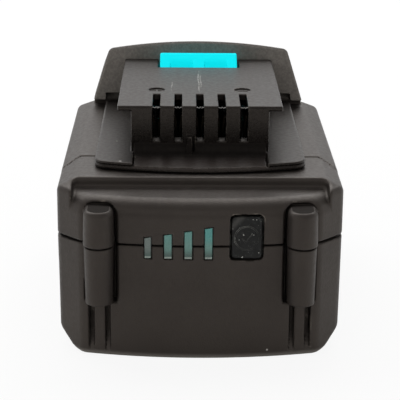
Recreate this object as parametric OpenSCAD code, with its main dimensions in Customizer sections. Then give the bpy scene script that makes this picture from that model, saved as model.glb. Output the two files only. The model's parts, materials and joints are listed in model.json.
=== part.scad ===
// Slide-on battery pack for cordless tools: two shells, a rail head with five contact slots,
// a sprung release latch, a charge display and ten round cells. Millimetres, +Z up.
// The display faces -Y, the latch pad faces +Y, and the origin is under the middle of the base.

/* [Cells] */
// Diameter of one cell in its sleeve
cell_d = 18.3; // [17.9:0.1:18.6]
// Length of one cell
cell_l = 65; // [60:0.5:70]
// Gap between neighbouring cells
cell_gap = 0.5; // [0.4:0.1:1]

/* [Case] */
// Wall thickness of the two shells
wall = 2; // [1.8:0.1:2.4]
// Room between the end cells and the crown of the front and rear walls
nose_room = 5.75; // [5.7:0.05:8]
// Room between the cell ends and the side walls
end_room = 4; // [3.6:0.1:6]
// Room between the cells and the roof, for the main board
board_room = 5.4; // [5.2:0.1:8]
// Thickness of the foam pad under the cells
foam_t = 1.4; // [1:0.1:3]
// Height of the joint between the shells above the base
seam_z = 32.4; // [30:0.1:34]
// Width of the shadow line along the joint
seam_gap = 0.4; // [0.2:0.1:0.8]
// Width of the chamfer along each side of the base
base_chamfer_w = 4.7; // [3:0.1:6]
// Height of the chamfer along each side of the base
base_chamfer_h = 5.5; // [3:0.1:7]
// How much each side leans in below the joint
side_draft = 0.35; // [0:0.05:0.5]
// Width of the chamfer along each side of the roof
roof_chamfer_w = 4.8; // [3:0.1:6]
// Height of the chamfer along each side of the roof
roof_chamfer_h = 2.2; // [1:0.1:3]

/* [Front and rear faces] */
// How far each face bows out between its corners
face_bow = 3.8; // [2:0.1:5]
// Width of the corner bevels across the pack
bevel_w = 6.6; // [5:0.1:7]
// Length of the corner bevels along the pack
bevel_l = 7; // [5:0.1:8]
// Radius of the upright corner edges
corner_r = 4; // [2:0.5:6]
// Depth of the ledge behind the crown of the front face
ledge_d = 12.8; // [11:0.1:14]
// Depth of the ledge below the roof
ledge_drop = 3.7; // [2:0.1:4]
// Width of the ledge between the corner posts
ledge_w = 68.4; // [64:0.1:70]
// Distance of the step across the roof from the front crown
step_d = 33; // [30:0.5:40]
// Height of the step across the roof
step_h = 0.3; // [0.2:0.1:0.6]

/* [Screw towers] */
// Distance of the towers from the middle
tower_x = 26.9; // [25:0.1:27.5]
// Radius of the round front of a tower
tower_r = 3.9; // [3.8:0.1:4.2]
// How far a tower stands out past the crown of the face
tower_out = 3; // [2:0.1:4]
// Height of the top of a tower
tower_top = 41.4; // [41:0.1:42]
// Height of the lower end of a tower
tower_base = 16; // [10:0.5:20]
// Open strip beside a tower, on its inner side
pocket_gap = 1.1; // [0.6:0.1:1.6]
// Depth of the pocket behind the face round a tower
pocket_d = 1.5; // [1:0.1:2]
// Height of the pocket above its tower
pocket_rise = 2; // [1:0.1:2.2]
// Depth of the screwdriver channel at the foot of a tower
channel_deep = 2.6; // [1.5:0.1:3]
// Width of the channel's floor
channel_w = 3.4; // [2.5:0.1:4]
// Diameter of the screw heads
head_d = 5.2; // [5:0.1:6]
// Diameter of the case screws
screw_d = 3.5; // [3:0.1:4]
// Length of the case screws under the head
screw_l = 21; // [18:0.5:22]

/* [Rail head] */
// Width of the platform
platform_w = 57.9; // [55:0.1:60]
// Thickness of the platform
platform_t = 2.2; // [1.8:0.1:3]
// Distance of the platform from the front crown
platform_front = 15.8; // [15:0.1:18]
// How far the platform's front edge bows out
platform_bow = 4.7; // [3:0.1:6]
// Radius of the platform's front corners
platform_r = 4.5; // [2:0.5:6]
// Width of the neck
neck_w = 38.2; // [37:0.1:40]
// Distance of the neck's face from the front crown
neck_front = 28; // [26:0.1:30]
// Width of the deck over its two flanges
deck_w = 45.6; // [44:0.1:48]
// Height of the deck's top above the roof
deck_h = 15.6; // [15:0.1:18]
// Thickness of the deck's flanges
flange_t = 1.45; // [1.2:0.05:2]
// Length of the deck
deck_l = 60.9; // [60:0.1:62]
// Spacing of the contact slots
slot_pitch = 6.07; // [5.9:0.01:6.4]
// Width of a contact slot
slot_w = 2.07; // [1.8:0.01:2.5]
// Length of a slot in the deck
slot_l = 14.2; // [13:0.1:16]
// Height of the slot sills above the roof
slot_sill = 5.4; // [5:0.1:6.5]
// Width of the ramp in front of the neck
ramp_w = 36.8; // [34:0.1:37]
// Depth of the ramp below the platform
ramp_drop = 0.8; // [0.4:0.1:1]
// Radius of the cove between ramp and neck
cove_r = 3; // [2:0.5:4]
// Diameter of the two polarity dimples
dimple_d = 4.6; // [4:0.1:6]
// Distance of the polarity dimples from the middle
dimple_x = 12.25; // [11:0.05:14]

/* [Hood] */
// Width of the hood at its foot
hood_base_w = 65.6; // [62:0.1:66]
// Width of the hood at its shoulders
hood_top_w = 55.4; // [52:0.1:58]
// Height of the shoulders above the roof
hood_h = 18.5; // [18:0.1:20]
// Rise of the crown over the shoulders
hood_crown = 2.4; // [1:0.1:3]
// Height of the dark gaps under the hood's front corners
hood_foot = 2.1; // [1.5:0.1:3]
// Slope of the hood's top towards the rear, degrees
hood_slope = 24; // [20:1:28]

/* [Latch] */
// Width of the hook
hook_w = 23.6; // [22:0.1:24]
// Height of the hook above the deck
hook_rise = 2.8; // [2.4:0.1:4]
// Length of the hook along the pack
hook_l = 7.7; // [7:0.1:8.5]
// Clearance round the hook and the slab
latch_gap = 0.5; // [0.4:0.1:0.8]
// Travel of the latch
latch_travel = 4; // [3:0.1:4.2]
// Thickness of the latch slab
slab_t = 3; // [2.5:0.1:3.2]
// Outer diameter of the latch springs
spring_d = 5; // [4.6:0.1:6]
// Diameter of the spring wire
wire_d = 0.6; // [0.5:0.1:0.8]

/* [Charge display] */
// Width of a charge bar
bar_w = 2.3; // [1.8:0.1:2.6]
// Width of the first charge bar
bar_first_w = 2; // [1.6:0.1:2.4]
// Spacing of the charge bars
bar_pitch = 5.36; // [5:0.02:5.6]
// Place of the first bar
bar_first_x = -13.95; // [-15:0.05:-13]
// Height of the first bar
bar_first_h = 6; // [5:0.1:7]
// Extra height of each next bar
bar_step_h = 0.95; // [0.5:0.05:1]
// How far the bars reach below the joint
bar_drop = 3.7; // [3:0.1:4]
// Width of the test button
button_w = 8.4; // [8:0.1:9]
// Height of the test button
button_h = 11.9; // [11:0.1:12.4]
// Place of the test button
button_x = 12.2; // [11.8:0.1:12.6]
// Height of the button's middle above the joint
button_rise = 2.3; // [2:0.1:2.6]
// Clearance round the button
button_gap = 0.3; // [0.3:0.05:0.5]
// Travel of the button
button_travel = 0.6; // [0.4:0.1:0.6]

/* [Boards] */
// Width of the main board
board_w = 48; // [46:0.5:52]
// Length of the main board
board_l = 77; // [74:0.5:78]
// Thickness of the main board
board_t = 1.6; // [1.2:0.1:1.6]
// Thickness of the indicator board
card_t = 1; // [0.8:0.1:1.2]
// Thickness of the nickel strips
strip_t = 0.3; // [0.2:0.05:0.4]

/* [Hidden] */
$fn = 64;

// Finishes
shell_colour = "#2b2826";
latch_colour = "#12c4dc";
brass_colour = "#c9a24a";
nickel_colour = "#b9bcc0";
board_colour = "#1f5a38";
holder_colour = "#3a3a3c";
cell_colour = "#3f78a8";

// Small clearances and reaches that several pieces share
far = 200;
touch = 0.05;
hair = 0.03;
loose = 0.3;

// Cell block: columns lie one behind the other along Y, rows one over the other
columns = 5;
rows = 2;
pitch = cell_d + cell_gap;
block_l = (columns - 1) * pitch + cell_d;
function column_y(c) = (c - (columns - 1) / 2) * pitch;
function row_z(r) = wall + foam_t + cell_d / 2 + r * pitch;
cells_top = row_z(rows - 1) + cell_d / 2;

// Outer sizes of the case
half_w = cell_l / 2 + end_room + wall;
board_gap = 1;
half_l = max(block_l / 2 + nose_room, board_l / 2 + ledge_d + board_gap) + wall;
case_w = 2 * half_w;
case_l = 2 * half_l;
roof_z = cells_top + board_room + wall;
roof_in = roof_z - wall;
nose_y = -half_l + wall;
function front(d) = d - half_l;

// Bowed faces and corner bevels
bevel_x = half_w - bevel_w;
bevel_y = half_l - face_bow - bevel_l;
bevel_len = norm([bevel_w, bevel_l]);
bevel_normal = [bevel_l, bevel_w] / bevel_len;
bow_r = (bevel_x * bevel_x + face_bow * face_bow) / (2 * face_bow);
function bow_at(x) = bow_r - sqrt(bow_r * bow_r - x * x);

// Joint between the shells
tongue_h = 1.4;
tongue_inset = 1.1;
tongue_room = 0.1;

// Towers and their screws
tower_axis = tower_r - tower_out;
pocket_floor = bow_at(tower_x) + pocket_d;
pocket_top = tower_top + pocket_rise;
pocket_r = 1.4;
pocket_bite = 0.25;
head_h = 2.4;
head_seat = tower_base + 3;
channel_flare = 0.45;
channel_end = 1.8;

// Ledge along the front of the roof
ledge_z = roof_z - ledge_drop;
ledge_cove = 1.5;
step_slant = 1.25;

// Rail head
neck_y = front(neck_front);
hood_y = neck_y + deck_l;
deck_rear = hood_y - 0.4;
platform_y = front(platform_front);
platform_top = roof_z + platform_t;
deck_top = roof_z + deck_h;
rail_wall = 2.2;
deck_skin = 2;
deck_under = deck_top - deck_skin;
ramp_z = platform_top - ramp_drop;
groove = 0.4;
sill_z = roof_z + slot_sill;
dimple_depth = 0.35;
key_x = -2.1;
key_w = 1.3;
key_t = 1.2;
dimple_y = neck_y + slot_l + 5.3;
post_d = 6;
post_x = 13.2;
post_first = 24;
post_step = 14;
post_ys = [neck_y + post_first, neck_y + post_first + post_step];
rail_screw_d = 3;
rail_screw_l = 8;
rail_head_d = 5.5;
rail_head_h = 1.9;

// Hood
crest_z = roof_z + hood_h + hood_crown;
crown_r = (pow(hood_top_w / 2, 2) + pow(hood_crown, 2)) / (2 * hood_crown);
hood_root = roof_z - roof_chamfer_h - 1;
hood_wall = 2.2;
hood_inset = 1.2;
hood_flat = 1.5;
hood_back_y = half_l - 3.5;
hood_back_z = crest_z - (hood_back_y - hood_y - hood_flat) * tan(hood_slope);
foot_depth = 4;
groove_mouth = platform_t + 2.2;

// Latch
slab_top = deck_under - 2;
slab_z = slab_top - slab_t;
hook_rear = hood_y - 4.3;
hook_y = hook_rear - hook_l;
stop_l = 4;
slab_front = hook_y - stop_l;
slab_w = hook_w;
pad_w = hook_w + 1.6;
pad_y = hood_y + 8;
pad_rear = hood_back_y - hood_wall - 1;
pad_foot = roof_z + latch_travel + 0.4;
pad_sink = 0.8;
spring_x = 8;
spring_y = hook_y + hook_l / 2;
spring_turns = 5;
peg_h = 1.4;
peg_d = spring_d - 2 * wire_d - 0.4;

// Charge display, worked out inwards from the front wall
bar_bottom = seam_z - bar_drop;
bar_slant = 0.3;
bar_sunk = 0.25;
bar_fit = 0.2;
function bar_x(i) = bar_first_x + i * bar_pitch;
button_z = seam_z + button_rise;
button_lip = 0.8;
button_lip_t = 0.7;
button_proud = 0.4;
plunger_d = 2.4;
plunger_gap = 0.35;
plunger_in = 0.2;
plunger_ratio = 0.5;
switch_h = 1;
switch_w = 4.5;
lip_front = nose_y + bow_at(button_x + button_w / 2 + button_lip) + loose;
lip_back = lip_front + button_lip_t;
switch_front = lip_back + button_travel + loose;
plunger_out = switch_front - lip_back - plunger_gap;
card_front = switch_front + switch_h;
card_back = card_front + card_t;
card_left = bar_first_x - bar_w / 2 - 3;
card_right = button_x + button_w / 2 + 2.6;
card_low = bar_bottom - 2.5;
card_high = button_z + button_h / 2 + 0.4;
lamp_h = 0.8;
guide_left = bar_first_x - bar_w / 2 - 1.2;
guide_right = bar_x(3) + bar_w / 2 + 1.2;
guide_front = nose_y + bow_at(guide_left) + loose;
guide_back = card_front - lamp_h - 0.3;
rib_w = 2.4;

// Cell holders, strips and boards
holder_grip = 11;
holder_in = cell_l / 2 - holder_grip;
card_wall = 0.4;
holder_out = half_w - wall - 0.5 - card_wall;
cell_fit = 0.1;
board_z = cells_top + 1;
board_top = board_z + board_t;
window_edge = 10;
strip_edge = 8;
lead_w = 4;
lead_t = 0.3;
lead_tab = 3;
lead_y = column_y(0) + 2;
board_screw_d = 2.2;
board_screw_x = board_w / 2 - 1.35;
board_screw_ys = [column_y(0) + pitch / 2, column_y(columns - 1) - pitch / 2];
terminal_w = 5 * slot_pitch + 1;
terminal_l = slot_l - 1;
terminal_y = neck_y + rail_wall + 1;
terminal_top = board_top + 4;
contact_l = 6;
contact_y = terminal_y + terminal_l - contact_l - 1;
contact_top = deck_under - 3.5;
transistor = [6.4, 9, 2.3];
transistor_pitch = 12;
transistor_y = board_l / 2 - transistor[1] - 7;
link_w = 10;
link_t = 0.25;
link_hang = 5;
link_tab = 4;

// A flat outline in X and Z, as a plate between two values of Y
module plate_y(y0, y1) translate([0, y1, 0]) rotate([90, 0, 0]) linear_extrude(y1 - y0) children();

// A flat outline in Y and Z, carried across the pack
module along_x(w) rotate([90, 0, 90]) linear_extrude(w, center = true) children();

// A rectangle with round corners
module round_rect(w, h, r) {
    square([w - 2 * r, h], center = true);
    square([w, h - 2 * r], center = true);
    for (x = [-1, 1], y = [-1, 1])
        translate([x * (w / 2 - r), y * (h / 2 - r)]) circle(r);
}

// The web that rounds an inner corner at the origin
module cove(r) difference() {
    square(r);
    translate([r, r]) circle(r);
}

// The scrap that rounds an outer corner whose arc has this centre and meets sides with these normals.
// The arc is a hair wide, so that it crosses the sides instead of only grazing them
module corner_scrap(centre, n1, n2, r) translate(centre) difference() {
    polygon([[0, 0], 2 * r * n1, 2 * r * (n1 + n2) / (1 + n1 * n2), 2 * r * n2]);
    circle(r + hair);
}

// Centre of the round between a straight side and a bowed edge: the side passes through p with
// normal n and runs along d towards the edge, whose arc has centre o and radius arc_r
function round_centre(p, n, d, o, arc_r, r) =
    let (v = p - r * n - o, b = v * d, c = v * v - pow(arc_r - r, 2))
    p - r * n + (sqrt(b * b - c) - b) * d;

// Plan of the case, with the wall taken off as an inset
module plan(inset) {
    reach = half_w * bevel_l + bevel_y * bevel_w - inset * bevel_len;
    intersection() {
        square([case_w - 2 * inset, case_l], center = true);
        polygon([[reach / bevel_l, 0], [0, reach / bevel_w], [-reach / bevel_l, 0], [0, -reach / bevel_w]]);
        translate([0, bow_r - half_l]) circle(bow_r - inset, $fn = 256);
        translate([0, half_l - bow_r]) circle(bow_r - inset, $fn = 256);
    }
}

// Plan of the case with its upright edges rounded
module round_plan() {
    side = [1, 0];
    side_corner = [half_w, bevel_y];
    side_centre = side_corner - corner_r * (side + bevel_normal) / (1 + side * bevel_normal);
    bow_centre = [0, half_l - bow_r];
    face_centre = round_centre(side_corner, bevel_normal, [-bevel_w, bevel_l] / bevel_len,
        bow_centre, bow_r, corner_r);
    face_normal = (face_centre - bow_centre) / norm(face_centre - bow_centre);
    difference() {
        plan(0);
        for (x = [0, 1], y = [0, 1]) mirror([x, 0]) mirror([0, y]) {
            corner_scrap(side_centre, side, bevel_normal, corner_r);
            corner_scrap(face_centre, bevel_normal, face_normal, corner_r);
        }
    }
}

// Cross-section of the lower half, with the wall taken off as an inset
module lower_section(inset) {
    slope = norm([base_chamfer_w, base_chamfer_h]);
    foot = half_w - side_draft;
    foot_x = foot + (base_chamfer_w * (inset - base_chamfer_h) - inset * slope) / base_chamfer_h;
    side_z = base_chamfer_h + inset * (slope - base_chamfer_h) / base_chamfer_w;
    right = [[foot_x, inset], [foot - inset, side_z], [half_w - inset, seam_z], [half_w - inset, far]];
    polygon(concat(right, [for (i = [3:-1:0]) [-right[i][0], right[i][1]]]));
}

// Cross-section of the upper half, with the wall taken off as an inset
module upper_section(inset) {
    slope = norm([roof_chamfer_w, roof_chamfer_h]);
    side_z = roof_z - roof_chamfer_h - inset * (slope - roof_chamfer_h) / roof_chamfer_w;
    flat_x = half_w - (inset * slope + roof_chamfer_w * (roof_chamfer_h - inset)) / roof_chamfer_h;
    right = [[half_w - inset, -far], [half_w - inset, side_z], [flat_x, roof_z - inset]];
    polygon(concat(right, [for (i = [2:-1:0]) [-right[i][0], right[i][1]]]));
}

// Places what is drawn at one tower on all four: X across, Y inwards from the crown of the face
module at_towers()
    for (x = [0, 1], y = [0, 1]) mirror([x, 0, 0]) mirror([0, y, 0])
        translate([tower_x, -half_l, 0]) children();

module tower(z0, z1) translate([0, 0, z0]) linear_extrude(z1 - z0) {
    translate([0, tower_axis]) circle(tower_r);
    translate([-tower_r, tower_axis]) square([2 * tower_r, pocket_floor + wall / 2 - tower_axis]);
}

module tower_bore(d, z0, z1) translate([0, tower_axis, z0]) cylinder(d = d, h = z1 - z0);

// Channel below a tower: its floor leans out and meets the face just above the base
module tower_channel() {
    lean = atan2(channel_deep, tower_base - channel_end);
    out = 2 * tower_r;
    mouth = channel_w / 2 + channel_flare * out;
    translate([0, bow_at(tower_x) + channel_deep, tower_base]) rotate([-lean, 0, 0])
        translate([0, 0, -tower_base]) linear_extrude(tower_base + 1)
            polygon([[-channel_w / 2, 0], [channel_w / 2, 0], [mouth, -out], [-mouth, -out]]);
}

module tower_pocket() {
    w = 2 * tower_r + pocket_gap - pocket_bite;
    plate_y(-far, pocket_floor)
        translate([-(pocket_gap + pocket_bite) / 2, (tower_base + pocket_top) / 2])
            round_rect(w, pocket_top - tower_base, pocket_r);
}

// Blocks inside the wall behind the pockets
module tower_backs(z0, z1) translate([0, 0, z0]) linear_extrude(z1 - z0) intersection() {
    plan(wall / 3);
    for (x = [0, 1], y = [0, 1]) mirror([x, 0]) mirror([0, y])
        translate([tower_x - tower_r - pocket_gap - wall, -half_l])
            square([2 * tower_r + pocket_gap + wall - 1, pocket_floor + wall]);
}

// Ring in the wall where the tongue of one shell enters the other
module joint_ring(inset, h) difference() {
    translate([0, 0, seam_z - seam_gap]) linear_extrude(h + seam_gap) difference() {
        plan(inset);
        plan(wall + touch);
    }
    at_towers() translate([-tower_r - pocket_gap - wall, -1, 0])
        cube([2 * (tower_r + wall) + pocket_gap, pocket_floor + wall + 1, roof_z]);
    display_windows(1);
}

module bar_outline(i, grow) {
    half = (i == 0 ? bar_first_w : bar_w) / 2;
    x0 = bar_x(i) - half - grow;
    x1 = bar_x(i) + half + grow;
    top = bar_bottom + bar_first_h + i * bar_step_h + grow;
    polygon([[x0, bar_bottom - grow], [x1, bar_bottom - grow], [x1, top + bar_slant / 2], [x0, top - bar_slant / 2]]);
}

module button_outline(grow)
    translate([button_x, button_z]) round_rect(button_w + 2 * grow, button_h + 2 * grow, 1 + grow);

// Openings for the bars and the button through the front wall
module display_windows(grow) {
    plate_y(-far, nose_y + 2) {
        for (i = [0:3]) bar_outline(i, grow);
        button_outline(button_gap + grow);
    }
}

// Outer form of the upper shell without the hood
module upper_form() {
    difference() {
        intersection() {
            translate([0, 0, seam_z + seam_gap / 2]) linear_extrude(roof_z - seam_z) round_plan();
            plate_y(-far, far) upper_section(0);
        }
        corner_chamfers();
        ledge_cut();
        roof_step();
    }
}

// Chamfers that carry the roof's side chamfers on round the corner bevels
module corner_chamfers()
    for (x = [0, 1], y = [0, 1]) mirror([x, 0, 0]) mirror([0, y, 0])
        translate([half_w, bevel_y, 0]) rotate(atan2(bevel_w, bevel_l))
            plate_y(-far, far)
                polygon([[-2 * roof_chamfer_w, roof_z + roof_chamfer_h],
                    [2 * roof_chamfer_w, roof_z - 3 * roof_chamfer_h],
                    [2 * roof_chamfer_w, roof_z + roof_chamfer_h]]);

module ledge_cut()
    along_x(ledge_w) difference() {
        translate([-far, ledge_z]) square([far + front(ledge_d), far]);
        translate([front(ledge_d), ledge_z]) mirror([1, 0]) cove(ledge_cove);
    }

// The roof in front of this line lies a little lower
module roof_step() {
    flat_x = half_w - roof_chamfer_w;
    edge_y = front(step_d) - (far - flat_x) * step_slant;
    difference() {
        translate([0, 0, roof_z - 2 * roof_chamfer_h]) linear_extrude(far)
            polygon([[-far, -far], [far, -far], [far, edge_y], [flat_x, front(step_d)],
                [-flat_x, front(step_d)], [-far, edge_y]]);
        translate([0, 0, -step_h]) plate_y(-far, far) upper_section(0);
    }
}

module upper_cavity() {
    difference() {
        intersection() {
            linear_extrude(roof_in) plan(wall);
            plate_y(-far, far) upper_section(wall);
        }
        along_x(case_w) translate([-far, ledge_z - wall]) square([far + front(ledge_d) + wall, far]);
    }
}

module hood_section(inset) {
    lean = (hood_base_w - hood_top_w) / 2 / (hood_h - hood_foot);
    high = hood_h + hood_crown + 1;
    right = [[hood_base_w / 2 - inset, hood_root], [hood_base_w / 2 - inset, roof_z + hood_foot],
        [hood_base_w / 2 - lean * (high - hood_foot) - inset, roof_z + high]];
    intersection() {
        polygon(concat(right, [for (i = [2:-1:0]) [-right[i][0], right[i][1]]]));
        translate([0, crest_z - inset - crown_r]) circle(crown_r, $fn = 256);
    }
}

module hood_form(inset) {
    intersection() {
        plate_y(-far, far) hood_section(inset);
        along_x(case_w) polygon([[hood_y + inset, hood_root], [hood_y + inset, crest_z - inset],
            [hood_y + hood_flat, crest_z - inset], [hood_back_y - inset, hood_back_z - inset],
            [hood_back_y + 2 - inset, hood_root]]);
        translate([0, 0, hood_root]) linear_extrude(far) plan(hood_inset + inset);
    }
}

// Bay for the latch, the way in for its slab, pockets from inside that keep the walls even,
// and the dark gaps under the hood's front corners
module hood_cuts() {
    run = tan(hood_slope);
    inner_y = hood_y + hood_wall;
    rear_y = hood_back_y - hood_wall;
    ceiling = crest_z - hood_wall - 1 - (pad_y - hood_y) * run;
    along_x(pad_w + 2 * latch_gap) polygon([[inner_y, roof_z], [inner_y, ceiling], [pad_y - latch_gap, ceiling],
        [pad_y - latch_gap, crest_z + 5], [half_l + 5, crest_z + 5], [half_l + 5, roof_z + 3],
        [rear_y, roof_z + 3], [rear_y, roof_z]]);
    plate_y(hood_y - 5, inner_y + 1) translate([-slab_w / 2 - latch_gap, slab_z - latch_travel - latch_gap])
        square([slab_w + 2 * latch_gap, slab_t + latch_travel + 2 * latch_gap]);
    for (x = [0, 1]) mirror([x, 0, 0]) {
        translate([pad_w / 2 + latch_gap + hood_wall, inner_y, roof_in - 1])
            cube([hood_top_w / 2 - pad_w / 2 - latch_gap - hood_wall - 1, rear_y - 1 - inner_y,
                hood_back_z - hood_wall - roof_in]);
        plate_y(hood_y - 5, hood_y + foot_depth) polygon([[deck_w / 2, roof_z], [hood_base_w / 2 + 5, roof_z],
            [hood_base_w / 2 + 5, roof_z + hood_foot], [platform_w / 2, roof_z + hood_foot],
            [platform_w / 2, roof_z + groove_mouth], [deck_w / 2, roof_z + groove_mouth]]);
    }
}

module spring_pegs(z)
    for (x = [-1, 1]) translate([x * spring_x, spring_y, z]) cylinder(d = peg_d, h = peg_h);

module lower_case() color(shell_colour) {
    low_top = seam_z - seam_gap / 2;
    difference() {
        union() {
            difference() {
                union() {
                    difference() {
                        lower_form(low_top);
                        intersection() {
                            translate([0, 0, wall]) linear_extrude(far) plan(wall);
                            plate_y(-far, far) lower_section(wall);
                        }
                    }
                    tower_backs(wall / 2, low_top);
                    card_ribs();
                    joint_ring(tongue_inset, tongue_h);
                }
                at_towers() {
                    tower_pocket();
                    tower_channel();
                }
            }
            at_towers() tower(tower_base, low_top);
        }
        at_towers() {
            tower_bore(screw_d + 0.4, tower_base, seam_z + 1);
            tower_bore(head_d + 2 * touch, tower_base - 1, head_seat);
        }
        display_windows(0);
    }
}

module lower_form(top) intersection() {
    linear_extrude(top) round_plan();
    plate_y(-far, far) lower_section(0);
}

// Two ribs with slots that hold the indicator board
module card_ribs() difference() {
    translate([0, 0, wall / 2]) linear_extrude(seam_z - 2 - wall / 2) intersection() {
        plan(wall / 3);
        for (x = [card_left, card_right])
            translate([x - rib_w / 2, front(0)]) square([rib_w, card_back + 0.5 - front(0)]);
    }
    plate_y(card_front - touch, card_back + touch)
        translate([card_left - touch, card_low - touch]) square([card_right - card_left + 2 * touch, far]);
}

module upper_case() color(shell_colour) difference() {
    union() {
        difference() {
            union() {
                difference() {
                    union() {
                        upper_form();
                        hood_form(0);
                    }
                    upper_cavity();
                    hood_cuts();
                }
                tower_backs(seam_z + seam_gap / 2, ledge_z - wall / 2);
                spring_pegs(roof_z);
            }
            at_towers() tower_pocket();
            joint_ring(tongue_inset - tongue_room, tongue_h);
        }
        at_towers() tower(seam_z + seam_gap / 2, tower_top);
    }
    at_towers() tower_bore(screw_d + 2 * touch, seam_z - 1, head_seat + screw_l + 0.5);
    display_windows(0);
    translate([-terminal_w / 2 - 0.5, terminal_y - 0.5, roof_in - 1])
        cube([terminal_w + 1, terminal_l + 1, wall + 2]);
    at_posts(roof_in - 1) cylinder(d = rail_screw_d + 0.3, h = wall + 2);
}

module at_posts(z)
    for (x = [-1, 1], y = post_ys) translate([x * post_x, y, z]) children();

module platform_outline() {
    half = platform_w / 2;
    arc_r = (half * half + platform_bow * platform_bow) / (2 * platform_bow);
    arc_centre = [0, platform_y + arc_r];
    centre = round_centre([half, platform_y + platform_bow], [1, 0], [0, -1], arc_centre, arc_r, platform_r);
    difference() {
        intersection() {
            translate([-half, platform_y - 1]) square([platform_w, deck_rear - platform_y + 1]);
            translate(arc_centre) circle(arc_r, $fn = 256);
        }
        for (x = [0, 1]) mirror([x, 0])
            corner_scrap(centre, [1, 0], (centre - arc_centre) / norm(centre - arc_centre), platform_r);
    }
}

module rail_head() color(shell_colour) {
    inner_w = neck_w - 2 * rail_wall;
    difference() {
        union() {
            difference() {
                union() {
                    translate([0, 0, roof_z]) linear_extrude(platform_t) platform_outline();
                    translate([-neck_w / 2, neck_y, roof_z]) cube([neck_w, deck_rear - neck_y, deck_h]);
                    translate([-deck_w / 2, neck_y, deck_top - flange_t])
                        cube([deck_w, deck_rear - neck_y, flange_t]);
                }
                translate([-inner_w / 2, neck_y + rail_wall, roof_z - 1])
                    cube([inner_w, far, deck_under - roof_z + 1]);
                ramp_cuts();
            }
            along_x(ramp_w) translate([neck_y, ramp_z]) mirror([1, 0]) cove(cove_r);
            key_rib();
            at_posts(roof_z) cylinder(d = post_d, h = deck_under - roof_z + touch);
        }
        for (i = [-2:2]) translate([i * slot_pitch, 0, 0]) contact_slot();
        for (x = [-1, 1])
            translate([x * dimple_x, dimple_y, deck_top - dimple_depth]) cylinder(d = dimple_d, h = 1);
        translate([-hook_w / 2 - latch_gap, hook_y - latch_gap, deck_under - 1]) cube([hook_w + 2 * latch_gap, far, far]);
        at_posts(roof_z - 1) cylinder(d = rail_screw_d + 2 * touch, h = rail_screw_l + 1);
    }
}

// The lowered ramp in front of the neck, with a narrow groove along each side
module ramp_cuts() {
    translate([-ramp_w / 2, front(0), ramp_z]) cube([ramp_w, neck_y - front(0), far]);
    for (x = [-1, 1])
        translate([x * (ramp_w - groove) / 2 - groove / 2, front(0), ramp_z - groove])
            cube([groove, neck_y - groove - front(0), far]);
}

// Slot through the neck's face and the deck, with a sloping sill
module contact_slot() {
    along_x(slot_w) polygon([[neck_y - 1, sill_z - 1], [neck_y + rail_wall + 1, sill_z + 0.5],
        [neck_y + slot_l, sill_z + 0.5], [neck_y + slot_l, deck_top + 1], [neck_y - 1, deck_top + 1]]);
}

// Keying rib at the foot of the neck between the second and third slots
module key_rib()
    translate([key_x - key_w / 2, neck_y - key_t, ramp_z + 0.5])
        cube([key_w, key_t + touch, sill_z + 2 - ramp_z - 0.5]);

module release_latch() color(latch_colour) {
    difference() {
        union() {
            along_x(hook_w) polygon([[hook_y, slab_z], [hook_y, deck_top - 0.3], [hook_rear - 1.9, deck_top + hook_rise],
                [hook_rear, deck_top + hook_rise], [hook_rear, slab_z]]);
            translate([-slab_w / 2, slab_front, slab_z]) cube([slab_w, pad_y + 1 - slab_front, slab_t]);
            translate([-slab_w / 2, slab_front, slab_z])
                cube([slab_w, stop_l - latch_gap - loose, deck_under - loose - slab_z]);
            latch_pad();
        }
        hook_pockets();
    }
    spring_pegs(slab_z - peg_h);
}

// Thumb pad at the rear end of the slab, with grip ribs on its sloping top
module latch_pad() {
    run = tan(hood_slope);
    top = hood_back_z + (hood_back_y - pad_y) * run - pad_sink;
    function pad_top(y) = top - (y - pad_y) * run;
    along_x(pad_w) polygon([[pad_y, slab_z], [pad_y, pad_top(pad_y)], [pad_rear, pad_top(pad_rear)],
        [pad_rear, pad_foot], [pad_rear - 3, pad_foot], [pad_rear - 3, slab_z]]);
    for (y = [pad_y + 1.2:1.4:pad_rear - 1.2])
        along_x(pad_w - 3) polygon([[y, pad_top(y) - 0.4], [y + 0.35, pad_top(y) + 0.4], [y + 0.7, pad_top(y) - 0.7]]);
}

// Two shallow pockets in the lower half of the hook's ramp
module hook_pockets() {
    rise = atan2(hook_rise + 0.3, hook_l - 1.9);
    for (x = [-1, 1])
        translate([x * hook_w / 4.7, hook_y, deck_top - 0.3]) rotate([rise, 0, 0])
            translate([-hook_w / 7.6, 0.9, -0.4]) cube([hook_w / 3.8, 2.6, 1]);
}

// Coil spring between two heights: one tube whose centre line climbs evenly
module spring(z0, z1) {
    sides = 6;
    rings = 8 * spring_turns + 1;
    coil_r = (spring_d - wire_d) / 2;
    lift = (z1 - z0 - wire_d) / (rings - 1);
    function ring_point(i, j) =
        let (a = 45 * i, b = 360 * j / sides, r = coil_r + wire_d / 2 * cos(b))
        [r * cos(a), r * sin(a), z0 + wire_d / 2 + i * lift + wire_d / 2 * sin(b)];
    points = [for (i = [0:rings - 1], j = [0:sides - 1]) ring_point(i, j)];
    walls = [for (i = [0:rings - 2], j = [0:sides - 1])
        let (a = i * sides + j, b = i * sides + (j + 1) % sides)
        each [[a, a + sides, b], [b, a + sides, b + sides]]];
    first = [for (j = [1:sides - 2]) [0, j, j + 1]];
    last = [for (j = [1:sides - 2]) let (k = (rings - 1) * sides) [k, k + j + 1, k + j]];
    turn_gap = min([for (i = [0:rings - 9]) norm(ring_point(i + 8, 4) - ring_point(i, 1))]);
    echo(least_gap_between_turns = turn_gap);
    polyhedron(points, concat(walls, first, last));
}

module latch_spring(x) color(nickel_colour)
    translate([x, spring_y, 0]) spring(roof_z + touch, slab_z - touch);

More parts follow.
